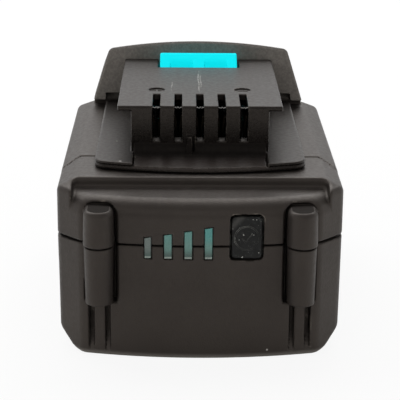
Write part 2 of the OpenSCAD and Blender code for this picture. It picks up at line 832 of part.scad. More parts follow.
module light_guide() color("#7fa9a6") {
    for (i = [0:3])
        plate_y(front(bow_at(bar_x(i))) + bar_sunk, guide_back) bar_outline(i, -bar_fit);
    plate_y(guide_front, guide_back)
        translate([guide_left, bar_bottom - 1]) square([guide_right - guide_left, bar_first_h + 3 * bar_step_h + 2]);
}

module test_button() color("#191817") {
    face_y = front(bow_at(button_x)) - button_proud;
    plate_y(face_y, lip_front + touch) button_outline(0);
    plate_y(lip_front, lip_back) button_outline(button_lip);
}

module indicator_board() color(board_colour)
    plate_y(card_front, card_back) translate([card_left, card_low]) square([card_right - card_left, card_high - card_low]);

module indicator_lamps() color("white")
    for (i = [0:3])
        plate_y(card_front - lamp_h, card_front)
            translate([bar_x(i), bar_bottom + bar_first_h / 2]) square([1.6, 3.2], center = true);

module tact_switch() color("#d8d8d4") difference() {
    plate_y(switch_front, card_front) translate([button_x, button_z]) square(switch_w, center = true);
    translate([button_x, switch_front - 1, button_z]) rotate([-90, 0, 0])
        cylinder(d = plunger_d + 2 * touch, h = 1 + plunger_in + plunger_ratio * button_travel + 0.2);
}

module switch_plunger() color("#30302f")
    translate([button_x, switch_front - plunger_out, button_z]) rotate([-90, 0, 0])
        cylinder(d = plunger_d, h = plunger_out + plunger_in);

module main_board() color(board_colour) difference() {
    translate([-board_w / 2, -board_l / 2, board_z]) cube([board_w, board_l, board_t]);
    at_board_screws(board_z - 1) cylinder(d = board_screw_d + 0.3, h = board_t + 2);
}

module at_board_screws(z)
    for (x = [-1, 1], y = board_screw_ys) translate([x * board_screw_x, y, z]) children();

module power_transistors() color("#202022")
    for (i = [-1:1])
        translate([i * transistor_pitch - transistor[0] / 2, transistor_y, board_top]) cube(transistor);

// Flat cable from under the main board's front edge to the back of the indicator board
module board_link() color("#c8c4b4") {
    low = card_high - link_hang;
    end_y = link_tab - board_l / 2;
    along_x(link_w) polygon([[card_back, low], [card_back + link_t, low], [card_back + link_t, board_z - link_t],
        [end_y, board_z - link_t], [end_y, board_z], [card_back, board_z]]);
}

// Bead in the valley between two cells of the upper row
module thermistor() color("#8c6f3a") {
    bead_r = 1.9;
    rise = sqrt(pow(cell_d / 2 + bead_r + touch, 2) - pitch * pitch / 4);
    translate([0, pitch / 2, row_z(1) + rise]) rotate([0, 90, 0]) cylinder(r = bead_r, h = 7, center = true);
}

module terminal_holder() color("#161616") difference() {
    translate([-terminal_w / 2, terminal_y, board_top]) cube([terminal_w, terminal_l, terminal_top - board_top]);
    for (i = [-2:2]) translate([i * slot_pitch, contact_y + contact_l / 2, board_top])
        cube([2 + 2 * touch, contact_l + 2 * touch, 3 * (terminal_top - board_top)], center = true);
}

// Fork contact: two leaves that close on the tool's blade and flare at the top
module contact(i) color(brass_colour) {
    pinch = terminal_top + 0.7 * (contact_top - terminal_top);
    leaf = [[1, board_top], [1, terminal_top], [0.75, pinch], [1.2, contact_top], [0.7, contact_top],
        [0.3, pinch], [0.5, terminal_top], [0.5, board_top + 1]];
    translate([(i - 3) * slot_pitch, 0, 0]) plate_y(contact_y, contact_y + contact_l)
        polygon(concat(leaf, [for (k = [len(leaf) - 1:-1:0]) [-leaf[k][0], leaf[k][1]]]));
}

module cell(i) color(cell_colour) {
    c = (i - 1) % columns;
    r = floor((i - 1) / columns);
    flip = (c % 2 == 0) ? 0 : 1;
    mirror([flip, 0, 0]) translate([0, column_y(c), row_z(r)]) rotate([0, 90, 0]) {
        cylinder(d = cell_d, h = cell_l - 1.2, center = true);
        translate([0, 0, -cell_l / 2]) cylinder(d = cell_d - 1.2, h = 1);
        translate([0, 0, cell_l / 2 - 1]) cylinder(d = 8, h = 1);
    }
}

// Frame round the cell ends on the right side, windows open where the strips are welded
module cell_holder() color(holder_colour) difference() {
    intersection() {
        translate([holder_in, -far, wall]) cube([holder_out - holder_in, 2 * far, board_z - wall]);
        plate_y(-far, far) lower_section(wall + loose);
        linear_extrude(far) plan(wall + loose);
        translate([-far, -block_l / 2 - loose, 0]) cube([2 * far, block_l + 2 * loose, far]);
    }
    for (c = [0:columns - 1], r = [0:rows - 1])
        translate([holder_in - 1, column_y(c), row_z(r)]) rotate([0, 90, 0])
            cylinder(d = cell_d + 2 * cell_fit, h = cell_l / 2 - holder_in + 1 + touch);
    children();
    at_board_screws(board_z - 7) cylinder(d = board_screw_d + 2 * touch, h = 8);
}

// Outline of a strip over columns c0 to c1, seen from the side: Y across and Z up
module strip_outline(c0, c1, edge)
    translate([column_y(c0) - edge / 2, row_z(0) - edge / 2])
        square([column_y(c1) - column_y(c0) + edge, pitch + edge]);

// Columns that each strip joins: three strips on the left, then three on the right
strip_columns = [[0, 0], [1, 2], [3, 4], [0, 1], [2, 3], [4, 4]];
function strip_side(i) = i < 3 ? -1 : 1;

module cell_strip(i) color(nickel_colour)
    translate([strip_side(i) * (cell_l / 2 + strip_t / 2), 0, 0])
        along_x(strip_t) strip_outline(strip_columns[i][0], strip_columns[i][1], strip_edge);

module strip_windows(first)
    for (i = [first:first + 2]) {
        translate([0.5 * cell_l + far / 2, 0, 0])
            along_x(far) strip_outline(strip_columns[i][0], strip_columns[i][1], window_edge);
    }

// Way for the flat lead up to the main board
module lead_notch(y)
    translate([cell_l / 2, y - lead_w / 2 - loose, row_z(1)]) cube([far, lead_w + 2 * loose, far]);

module cell_holder_right() cell_holder() {
    strip_windows(3);
    lead_notch(-lead_y);
}

module cell_holder_left() mirror([1, 0, 0]) cell_holder() {
    strip_windows(0);
    lead_notch(lead_y);
}

// Flat lead from an end strip, over the holder and onto the main board
module lead() {
    x0 = cell_l / 2 + strip_t;
    low = row_z(1) - lead_tab;
    end_x = board_w / 2 - lead_tab;
    translate([x0, lead_y - lead_w / 2, low]) cube([lead_t, lead_w, board_top + lead_t - low]);
    translate([end_x, lead_y - lead_w / 2, board_top]) cube([x0 + lead_t - end_x, lead_w, lead_t]);
}

module lead_positive() color(nickel_colour) mirror([1, 0, 0]) lead();

module lead_negative() color(nickel_colour) mirror([0, 1, 0]) lead();

module insulator(side) color("#6d7a54")
    translate([side * (holder_out + card_wall / 2), 0, 0])
        along_x(card_wall)
            translate([-bevel_y + 2, base_chamfer_h + 4]) square([2 * bevel_y - 4, board_z - base_chamfer_h - 5]);

module foam_pad() color("#55585a")
    translate([-holder_in + 1, -block_l / 2 + 2, wall]) cube([2 * holder_in - 2, block_l - 4, foam_t - touch]);

module case_screws() color(nickel_colour)
    at_towers() {
        tower_bore(head_d, head_seat - head_h, head_seat);
        tower_bore(screw_d, head_seat - touch, head_seat + screw_l);
    }

module rail_screws() color(nickel_colour) {
    at_posts(roof_in - rail_head_h) cylinder(d = rail_head_d, h = rail_head_h);
    at_posts(roof_in - touch) cylinder(d = rail_screw_d, h = rail_screw_l);
}

module board_screws() color(nickel_colour) {
    at_board_screws(board_top) cylinder(d = 1.8 * board_screw_d, h = 1.2);
    at_board_screws(board_top - 6) cylinder(d = board_screw_d, h = 6 + touch);
}

lower_case();
upper_case();
rail_head();
release_latch();
latch_spring(-spring_x);  // latch_spring_left
latch_spring(spring_x);  // latch_spring_right
light_guide();
test_button();
indicator_board();
indicator_lamps();
tact_switch();
switch_plunger();
main_board();
power_transistors();
board_link();
thermistor();
terminal_holder();
for (i = [1:5]) contact(i);
for (i = [1:10]) cell(i);
cell_holder_left();
cell_holder_right();
insulator(-1);  // insulator_left
insulator(1);  // insulator_right
foam_pad();
for (i = [1:6]) cell_strip(i - 1);
lead_positive();
lead_negative();
case_screws();
rail_screws();
board_screws();
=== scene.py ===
"""Looks of a slide-on battery pack for cordless tools.

The mouldings are drawn as smooth fields: a field is below zero inside the plastic and above it outside,
and its zero surface is laid out as quads. Lengths in the fields are millimetres in the pack's own frame.
"""
import json
import math

import bpy
import numpy as np
from mathutils import Matrix, Vector


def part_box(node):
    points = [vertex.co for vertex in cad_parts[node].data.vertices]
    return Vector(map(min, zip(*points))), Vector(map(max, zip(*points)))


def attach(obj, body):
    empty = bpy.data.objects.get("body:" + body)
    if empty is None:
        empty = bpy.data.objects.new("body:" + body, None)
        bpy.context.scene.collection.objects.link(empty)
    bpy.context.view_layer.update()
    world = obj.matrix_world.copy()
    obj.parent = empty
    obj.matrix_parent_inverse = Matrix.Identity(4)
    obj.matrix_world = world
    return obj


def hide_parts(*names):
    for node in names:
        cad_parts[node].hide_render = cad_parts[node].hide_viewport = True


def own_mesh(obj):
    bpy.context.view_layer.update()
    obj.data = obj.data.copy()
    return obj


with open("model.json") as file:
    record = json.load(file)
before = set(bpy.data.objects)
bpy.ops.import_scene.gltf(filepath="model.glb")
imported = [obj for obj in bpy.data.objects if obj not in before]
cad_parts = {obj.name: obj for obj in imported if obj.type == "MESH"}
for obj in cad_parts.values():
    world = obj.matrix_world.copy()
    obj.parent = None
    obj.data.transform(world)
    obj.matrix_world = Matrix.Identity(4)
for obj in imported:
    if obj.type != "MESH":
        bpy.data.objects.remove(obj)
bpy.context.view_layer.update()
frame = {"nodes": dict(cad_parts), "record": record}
MM = 0.001


def corners_mm(node):
    """Lowest and highest corner of a CAD node, in millimetres."""
    low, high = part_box(node)
    return np.array(low) / MM, np.array(high) / MM


# Main sizes, read from the frame
_, lower_high = corners_mm("lower_case")
_, upper_high = corners_mm("upper_case")
rail_low, rail_high = corners_mm("rail_head")
latch_low, latch_high = corners_mm("release_latch")
button_low, button_high = corners_mm("test_button")

HALF_W = lower_high[0]
TOWER_OUT = 3.0
HALF_L = lower_high[1] - TOWER_OUT
TONGUE = 1.4
SEAM = lower_high[2] - TONGUE
SEAM_GAP = 0.4
ROOF = rail_low[2]
DECK_TOP = rail_high[2]
CREST = upper_high[2]
WALL = 2.0

# Faces, bevels and chamfers of the case. Here and below, _R ends the name of an edge's radius, and _COS that
# of the cosine of the angle between the outward normals of the two faces that meet there.
FACE_BOW = 3.8
BEVEL_W, BEVEL_L = 6.6, 7.0
CORNER_R, CORNER_R_LEAST, BOW_CORNER_COS = 4.0, 0.6, 0.838
BASE_CHAMFER_W, BASE_CHAMFER_H, BASE_CHAMFER_R, BASE_R = 4.7, 5.5, 3.0, 2.0
SIDE_DRAFT = 0.35
SEAM_R, SEAM_DROP, SEAM_DROP_X = 0.3, 0.3, (30.5, 34.5)
ROOF_CHAMFER_W, ROOF_CHAMFER_H, ROOF_R, ROOF_EDGE_R = 4.8, 2.2, 5.0, 2.0
SHOULDER_COS, ROOF_CORNER_COS, ROOF_EDGE_COS = 0.909, 0.95, 0.4167
STEP_Y, STEP_H, STEP_SLANT, STEP_RUN = 33.0 - HALF_L, 0.3, 1.25, 0.15
STEP_CREASE, STEP_CREASE_W = 0.2, 0.35
LEDGE_Y, LEDGE_Z, LEDGE_HALF, LEDGE_LAP = 12.8 - HALF_L, ROOF - 3.6, 34.2, 1.5
LEDGE_TILT, LEDGE_ROLL, LEDGE_FOOT, LEDGE_UNDER = math.radians(2), 5.0, 1.0, 2.8
POST_CORNER_R, POST_RIM_R = 2.0, 1.0
BEVEL_LEN = math.hypot(BEVEL_W, BEVEL_L)
BEVEL_REACH = (HALF_W * BEVEL_L + (HALF_L - FACE_BOW - BEVEL_L) * BEVEL_W) / BEVEL_LEN
BOW_R = ((HALF_W - BEVEL_W) ** 2 + FACE_BOW ** 2) / (2 * FACE_BOW)
NOSE_Y = WALL - HALF_L

# Screw towers
TOWER_X, TOWER_R = 26.9, 3.9
TOWER_AXIS = TOWER_R - TOWER_OUT
TOWER_TOP, TOWER_BASE = 42.4, 16.0
TOWER_HEAD_R, TOWER_FOOT_R, TOWER_FILLET = 1.4, 0.7, 0.4
TOWER_DRAFT, TOWER_DRAFT_RUN = 0.25, 10.0
POCKET_GAP, POCKET_TOP, POCKET_R, POCKET_D = 0.75, 43.1, 2.6, 2.6
POCKET_FLOOR_R, POCKET_RIM_R, POCKET_WALL = 0.6, 0.65, 1.0
BORE_R = 2.65
GROOVE_X, GROOVE_HALF, GROOVE_D = 2.2, 0.65, 2.6
GROOVE_END, GROOVE_RUN, GROOVE_RIB, GROOVE_RIM_R = 1.8, 5.0, 0.5, 0.2
HEAD_SEAT = TOWER_BASE + 3


def bow_at(x):
    """How far the front face lies behind its crown at this x."""
    return BOW_R - math.sqrt(BOW_R ** 2 - x ** 2)


POCKET_FLOOR = bow_at(TOWER_X) + POCKET_D
TOWER_BACK = POCKET_FLOOR + POCKET_WALL

# Hood
HOOD_FOOT, HOOD_FOOT_INNER, HOOD_FILLET = 2.1, 4.4, 0.5
HOOD_BASE, HOOD_TOP, HOOD_SHOULDER, HOOD_CROWN = 32.8, 27.7, 18.5, 2.4
HOOD_LEAN = (HOOD_BASE - HOOD_TOP) / (HOOD_SHOULDER - HOOD_FOOT)
CROWN_R = (HOOD_TOP ** 2 + HOOD_CROWN ** 2) / (2 * HOOD_CROWN)
HOOD_Y = rail_high[1] + 0.4
HOOD_FLAT, HOOD_SLOPE, HOOD_SLOPE_R = 1.5, math.radians(24), 4.0
HOOD_BACK, HOOD_BACK_LEAN, HOOD_BACK_DROP, HOOD_BACK_R = HALF_L - 3.5, 0.14, 6.7, 2.5
HOOD_INSET, HOOD_WALL = 1.2, 2.2
HOOD_SIDE_R, HOOD_SIDE_COS, HOOD_PLAN_R, HOOD_FACE_R, HOOD_RIM_R = 1.6, 0.3, 2.0, 0.7, 0.4

# Rail head
PLATFORM_HALF, PLATFORM_Y, PLATFORM_BOW = rail_high[0], rail_low[1], 4.7
PLATFORM_TOP, PLATFORM_R, PLATFORM_COS, PLATFORM_RIM_R = ROOF + 2.2, 4.5, 0.3, 0.7
LIP_RISE, LIP_D, LIP_W = 1.2, 0.3, 0.25
PLATFORM_ARC = (PLATFORM_HALF ** 2 + PLATFORM_BOW ** 2) / (2 * PLATFORM_BOW)
NECK_HALF, NECK_Y, NECK_LEAN = 19.1, 28.0 - HALF_L, math.tan(math.radians(7))
NECK_TOP, NECK_WALL, NECK_EDGE_R = DECK_TOP - 1, 2.2, 0.35
DECK_HALF, FLANGE, DECK_CORNER_R, DECK_EDGE_R = 22.8, 1.45, 0.5, 0.4
DECK_REAR = rail_high[1]
DECK_UNDER = DECK_TOP - 2
RAMP_HALF, RAMP_Z = 18.4, PLATFORM_TOP - 0.8
RAMP_RIM_R, RAMP_GROOVE_HALF, RAMP_GROOVE_D = 0.25, 0.15, 0.3
NECK_FOOT = NECK_Y + NECK_LEAN * (NECK_TOP - RAMP_Z)
SLOT_PITCH, SLOT_W, SLOT_L, SLOT_RIM_R = 6.07, 2.07, 14.2, 0.2
SILL, SILL_SLOPE, SILL_RUN = ROOF + 5.4, 0.36, 4.2
COVE_R = 3.0
KEY_X, KEY_HALF, KEY_OUT, KEY_TOP, KEY_R = -2.9, 0.75, 1.6, SILL + 1.6, 0.2
KEY_GROOVE_HALF, KEY_GROOVE_D = 0.3, 0.5
DIMPLE_X, DIMPLE_R, DIMPLE_D, DIMPLE_RIM_R = 12.25, 2.3, 0.5, 0.12
DIMPLE_Y = NECK_Y + SLOT_L + 5.3
SIGN_REACH, SIGN_HALF, SIGN_RISE = 1.2, 0.3, 0.25

# Latch
LATCH_GAP = 0.5
HOOK_HALF = 11.8
HOOK_REAR = HOOD_Y - 4.3
HOOK_Y = HOOK_REAR - 7.7
HOOK_TOP, HOOK_FLAT, HOOK_DROP = latch_high[2], 1.9, 0.3
HOOK_CROWN_R, HOOK_EDGE_R = 1.0, 0.5
SCOOP_X, SCOOP_HALF, SCOOP_D, SCOOP_SLOPE, SCOOP_R = 5.25, 3.4, 0.5, 0.14, 0.15
SLAB_Z, SLAB_T, SLAB_Y = DECK_UNDER - 5, 3.0, latch_low[1]
PAD_HALF, PAD_Y, PAD_REAR = latch_high[0], HOOD_Y + 8, latch_high[1]
PAD_FOOT, PAD_SINK, PAD_REAR_R, PAD_SIDE_R = ROOF + 4.4, 0.8, 1.0, 0.7
PAD_RIB_H, PAD_RIB_PITCH = 0.3, 1.4
STOP_L, SKIRT_BACK, SKIRT_HALF, SKIRT_DROP = 3.2, 1.8, 0.75, 3.6
LATCH_TRAVEL, SPRING_TURNS, SPRING_STEPS, SPRING_WIRE = 4.0, 5, 24, 0.3

# Charge display
BAR_WIDTHS, BAR_PITCH, BAR_FIRST_X = (2.0, 2.3, 2.3, 2.3), 5.36, -13.95
BAR_FIRST_H, BAR_STEP, BAR_BOTTOM, BAR_SLANT = 6.0, 0.95, SEAM - 3.7, 0.3
BUTTON_HALF = np.array([4.2, 5.95])
BUTTON_X, BUTTON_Z = (button_low[0] + button_high[0]) / 2, (button_low[2] + button_high[2]) / 2
BUTTON_GAP, BUTTON_CORNER_R, BUTTON_EDGE_R, BUTTON_DOME = 0.3, 1.0, 0.45, 0.012
BUTTON_INSET, BUTTON_FLANGE, BUTTON_FLANGE_T = 0.15, 0.8, 0.7
RING_R, MARK_HALF, MARK_RISE = 3.2, 0.14, 0.14
WINDOW_DEPTH, WINDOW_RIM_R = 1.8, 0.15


def round_max(a, b, radius, cosine=0.0):
    """What lies in both a and b, with their edge rounded to this radius.

    cosine is that of the angle between the two outward normals. Near the edge the distance to the arc's
    centre line replaces the larger of the two distances.
    """
    p, q = a + radius, b + radius
    arc = np.sqrt(np.maximum(p * p + q * q - 2 * cosine * p * q, 0) / (1 - cosine ** 2)) - radius
    return np.where((p > cosine * q) & (q > cosine * p), arc, np.maximum(a, b))


def round_min(a, b, radius, cosine=0.0):
    """What lies in a or b, with a fillet of this radius where they meet."""
    return -round_max(-a, -b, radius, cosine)


def cut(a, b, radius):
    """What is left of a when b is taken away, with the rim rounded to this radius."""
    return round_max(a, -b, radius)


def round_rect(u, v, half_u, half_v, radius):
    """Signed distance to a rectangle with round corners."""
    p, q = np.abs(u) - half_u + radius, np.abs(v) - half_v + radius
    return np.hypot(np.maximum(p, 0), np.maximum(q, 0)) + np.minimum(np.maximum(p, q), 0) - radius


def inside_all(*distances):
    """What lies in every one of these, with sharp edges."""
    total = distances[0]
    for distance in distances[1:]:
        total = np.maximum(total, distance)
    return total


def ramp(t, low, high):
    """Rises smoothly from 0 at low to 1 at high."""
    s = np.clip((t - low) / (high - low), 0, 1)
    return s * s * (3 - 2 * s)


def bevel_edge(x, y):
    """Distance outside the flat corner bevels."""
    return (np.abs(x) * BEVEL_L + np.abs(y) * BEVEL_W) / BEVEL_LEN - BEVEL_REACH


def bow_edge(x, y):
    """Distance outside the bowed front and rear faces."""
    return np.hypot(x, np.abs(y) - (HALF_L - BOW_R)) - BOW_R


def plan_edge(x, y, side, inset=0.0):
    """Distance outside the plan of the case: sides, corner bevels and bowed faces with round corners."""
    radius = max(CORNER_R - inset, CORNER_R_LEAST)
    corner = round_max(side, bevel_edge(x, y) + inset, radius, BEVEL_L / BEVEL_LEN)
    return round_max(corner, bow_edge(x, y) + inset, radius, BOW_CORNER_COS)


def tower_places(x, y):
    """Distance across from the nearest tower's middle, and depth behind the crown of its face."""
    return np.abs(x) - TOWER_X, HALF_L - np.abs(y)


def with_towers(body, x, y, z, z0, z1, low_r, high_r, swell):
    """Sinks the pockets into the body, then adds the towers from z0 to z1 with rounded ends.

    swell is how much wider than their plain radius the drafted towers are.
    """
    across, depth = tower_places(x, y)
    half_wide = TOWER_R + POCKET_GAP / 2
    half_high = (POCKET_TOP - TOWER_BASE) / 2 + POCKET_R
    rim = round_rect(across + POCKET_GAP / 2, z - POCKET_TOP + half_high, half_wide, half_high, POCKET_R)
    pocket = round_max(np.maximum(rim, TOWER_BASE - z), depth - POCKET_FLOOR, POCKET_FLOOR_R)
    body = cut(body, pocket, POCKET_RIM_R)
    tower = np.hypot(across, np.minimum(depth - TOWER_AXIS, 0)) - TOWER_R - swell
    tower = round_max(round_max(tower, z0 - z, low_r), z - z1, high_r)
    fillet = TOWER_FILLET * ramp(np.minimum(z - z0, z1 - z), 0.2, 1.2)
    return round_min(body, np.maximum(tower, depth - TOWER_BACK), fillet)


def tower_back(x, y):
    """The thicker wall behind the pockets."""
    across, depth = tower_places(x, y)
    return np.maximum(np.abs(across + POCKET_GAP / 2) - TOWER_R - POCKET_GAP / 2 - WALL, depth - TOWER_BACK)


def windows(x, y, z):
    """Openings in the front wall for the four bars and the button."""
    ways = round_rect(x - BUTTON_X, z - BUTTON_Z, *(BUTTON_HALF + BUTTON_GAP), BUTTON_CORNER_R + BUTTON_GAP)
    for i, width in enumerate(BAR_WIDTHS):
        across = x - BAR_FIRST_X - i * BAR_PITCH
        top = BAR_BOTTOM + BAR_FIRST_H + i * BAR_STEP + BAR_SLANT / width * across
        bar = inside_all(np.abs(across) - width / 2, BAR_BOTTOM - z, z - top)
        ways = np.minimum(ways, bar)
    return np.maximum(ways, y - NOSE_Y - WINDOW_DEPTH)


def screw_ways(x, y, z):
    """Screwdriver channels below the towers, with two grooves and a sunk rib each, and the screw wells."""
    across, depth = tower_places(x, y)
    inward = -bow_edge(x, y)
    sunk = np.clip((z - GROOVE_END) / GROOVE_RUN, 0, 1)
    groove = np.maximum(np.abs(np.abs(across) - GROOVE_X) - GROOVE_HALF, inward - GROOVE_D * sunk)
    rib = np.maximum(np.abs(across) - GROOVE_X, inward - GROOVE_RIB * sunk)
    channel = np.maximum(round_min(groove, rib, 0.4), z - TOWER_BASE - 0.3)
    well = inside_all(np.hypot(across, depth - TOWER_AXIS) - BORE_R, z - HEAD_SEAT, TOWER_BASE - 1 - z)
    return channel, well


def lower_shell(x, y, z):
    """Lower shell: drafted sides, chamfered base, tower halves, screwdriver channels and windows."""
    lean = SIDE_DRAFT * np.clip((SEAM - z) / (SEAM - BASE_CHAMFER_H), 0, 1.3)
    side = np.abs(x) - HALF_W + lean
    slope = math.hypot(BASE_CHAMFER_W, BASE_CHAMFER_H)
    foot = HALF_W - SIDE_DRAFT
    chamfer = ((np.abs(x) - foot) * BASE_CHAMFER_H - (z - BASE_CHAMFER_H) * BASE_CHAMFER_W) / slope
    section = round_max(side, chamfer, BASE_CHAMFER_R, BASE_CHAMFER_H / slope)
    body = round_max(plan_edge(x, y, section), -z, BASE_R)
    top = SEAM - SEAM_GAP / 2
    body = round_max(body, z - top + SEAM_DROP * ramp(np.abs(x), *SEAM_DROP_X), SEAM_R)
    cavity = inside_all(plan_edge(x, y, side + WALL, WALL), WALL - z, chamfer + WALL, -tower_back(x, y))
    body = np.maximum(body, -cavity)
    swell = -TOWER_DRAFT * np.clip((SEAM - z) / TOWER_BASE, 0, 1)
    body = with_towers(body, x, y, z, TOWER_BASE, top, TOWER_FOOT_R, SEAM_R, swell)
    channel, well = screw_ways(x, y, z)
    body = cut(cut(body, channel, GROOVE_RIM_R), well, GROOVE_RIM_R)
    return cut(body, windows(x, y, z), WINDOW_RIM_R)


def roof_form(x, y, z):
    """Upper shell without the hood: chamfered roof, shallow step, front ledge between the corner posts."""
    past_step = y - STEP_Y + STEP_SLANT * np.maximum(np.abs(x) - HALF_W + ROOF_CHAMFER_W, 0)
    crease = STEP_CREASE * np.exp(-(past_step / STEP_CREASE_W) ** 2)
    sunk = z - ROOF + STEP_H * ramp(-past_step, -STEP_RUN, STEP_RUN) + crease
    slope = math.hypot(ROOF_CHAMFER_W, ROOF_CHAMFER_H)
    rise = (sunk + ROOF_CHAMFER_H) * ROOF_CHAMFER_W / slope
    side = np.abs(x) - HALF_W
    shoulder = side * ROOF_CHAMFER_H / slope + rise
    corner = bevel_edge(x, y) * ROOF_CHAMFER_H / slope + rise
    top = round_max(round_max(sunk, shoulder, ROOF_R, SHOULDER_COS), corner, ROOF_R, ROOF_CORNER_COS)
    plan = plan_edge(x, y, side)
    body = round_max(plan, top, ROOF_EDGE_R, ROOF_EDGE_COS)
    high = cut(body, round_max(y - LEDGE_Y, np.abs(x) - LEDGE_HALF, POST_CORNER_R), POST_RIM_R)
    ledge = (z - LEDGE_Z) * math.cos(LEDGE_TILT) - (y + HALF_L) * math.sin(LEDGE_TILT)
    shelf = round_max(plan, ledge, LEDGE_ROLL, math.sin(LEDGE_TILT))
    shelf = inside_all(shelf, np.abs(x) - LEDGE_HALF - LEDGE_LAP, y - LEDGE_Y - 2 * LEDGE_LAP)
    fillet = LEDGE_FOOT * ramp(-bow_edge(x, y), 0.4, 4.0) * ramp(z, LEDGE_Z - 3, LEDGE_Z - 1)
    return round_min(high, shelf, fillet)


def hood_form(x, y, z):
    """Hood behind the deck: leaning sides, crowned top that falls to the rear, and the bay for the latch."""
    out = np.abs(x) - HOOD_BASE
    sides = np.maximum(out, (out + HOOD_LEAN * (z - ROOF - HOOD_FOOT)) / math.hypot(1, HOOD_LEAN))
    crown = z + x * x / (2 * CROWN_R) - CREST
    fall = crown * math.cos(HOOD_SLOPE) + (y - HOOD_Y - HOOD_FLAT) * math.sin(HOOD_SLOPE)
    top = round_max(crown, fall, HOOD_SLOPE_R, math.cos(HOOD_SLOPE))
    hood = round_max(top, sides, HOOD_SIDE_R, HOOD_SIDE_COS)
    hood = round_max(hood, plan_edge(x, y, np.abs(x) - HALF_W + HOOD_INSET, HOOD_INSET), HOOD_PLAN_R)
    hood = round_max(hood, y - HOOD_BACK - HOOD_BACK_LEAN * (CREST - HOOD_BACK_DROP - z), HOOD_BACK_R)
    hood = round_max(hood, HOOD_Y - y, HOOD_FACE_R)
    return cut(np.maximum(hood, ROOF - 2 - z), hood_ways(x, y, z), HOOD_RIM_R)


def hood_ways(x, y, z):
    """Latch bay, the way in for the slab, and the dark gaps under the front corners."""
    ceiling = CREST - HOOD_WALL - 1 - (PAD_Y - HOOD_Y) * math.tan(HOOD_SLOPE)
    chamber = inside_all(HOOD_Y + HOOD_WALL - y, y - HOOD_BACK + HOOD_WALL, ROOF - z, z - ceiling)
    mouth = np.maximum(PAD_Y - LATCH_GAP - y, ROOF + 3 - z)
    bay = np.maximum(np.abs(x) - PAD_HALF - LATCH_GAP, np.minimum(chamber, mouth))
    slab_low, slab_high = SLAB_Z - LATCH_TRAVEL - LATCH_GAP, SLAB_Z + SLAB_T + LATCH_GAP
    slab = inside_all(np.abs(x) - HOOK_HALF - LATCH_GAP, y - HOOD_Y - HOOD_WALL - 1,
                      slab_low - z, z - slab_high)
    under = inside_all(DECK_HALF - np.abs(x), y - HOOD_Y - 4, ROOF - z)
    high = np.where(np.abs(x) < PLATFORM_HALF, HOOD_FOOT_INNER, HOOD_FOOT)
    return np.minimum(np.minimum(bay, slab), np.maximum(under, z - ROOF - high))


def upper_shell(x, y, z):
    """Upper shell with its hood, towers, windows and hollow inside."""
    bottom = SEAM + SEAM_GAP / 2
    roof = round_max(roof_form(x, y, z), bottom - z, SEAM_R)
    body = round_min(roof, hood_form(x, y, z), HOOD_FILLET)
    under_ledge = np.maximum(y - LEDGE_Y - WALL, LEDGE_Z - WALL - LEDGE_UNDER - z)
    hollow = inside_all(plan_edge(x, y, np.abs(x) - HALF_W + WALL, WALL), z - ROOF + WALL + ROOF_CHAMFER_H,
                        -under_ledge, -tower_back(x, y))
    body = np.maximum(body, -hollow)
    swell = TOWER_DRAFT * np.clip((TOWER_TOP - z) / TOWER_DRAFT_RUN, 0, 1)
    body = with_towers(body, x, y, z, bottom, TOWER_TOP, SEAM_R, TOWER_HEAD_R, swell)
    return cut(body, windows(x, y, z), WINDOW_RIM_R)


def neck_foot(body, x, y, z):
    """Adds the cove between the ramp and the neck, and the key rib with the narrow groove beside it."""
    before_neck = NECK_Y - y + NECK_LEAN * (NECK_TOP - z)
    over_ramp = z - RAMP_Z
    cove = COVE_R - np.hypot(np.maximum(COVE_R - before_neck, 0), np.maximum(COVE_R - over_ramp, 0))
    cove = inside_all(cove, np.abs(x) - RAMP_HALF, before_neck - COVE_R, -before_neck - 1,
                      over_ramp - COVE_R, -over_ramp - 0.5)
    groove = inside_all(np.abs(x - KEY_X - KEY_HALF - KEY_GROOVE_HALF) - KEY_GROOVE_HALF,
                        RAMP_Z + 0.8 - z, z - SILL - 1.2, -before_neck - KEY_GROOVE_D)
    body = np.maximum(np.minimum(body, cove), -groove)
    key = round_rect(x - KEY_X, z - (RAMP_Z + KEY_TOP) / 2, KEY_HALF, (KEY_TOP - RAMP_Z) / 2, KEY_R)
    return np.minimum(body, inside_all(key, before_neck - KEY_OUT, y - NECK_FOOT - 0.5))


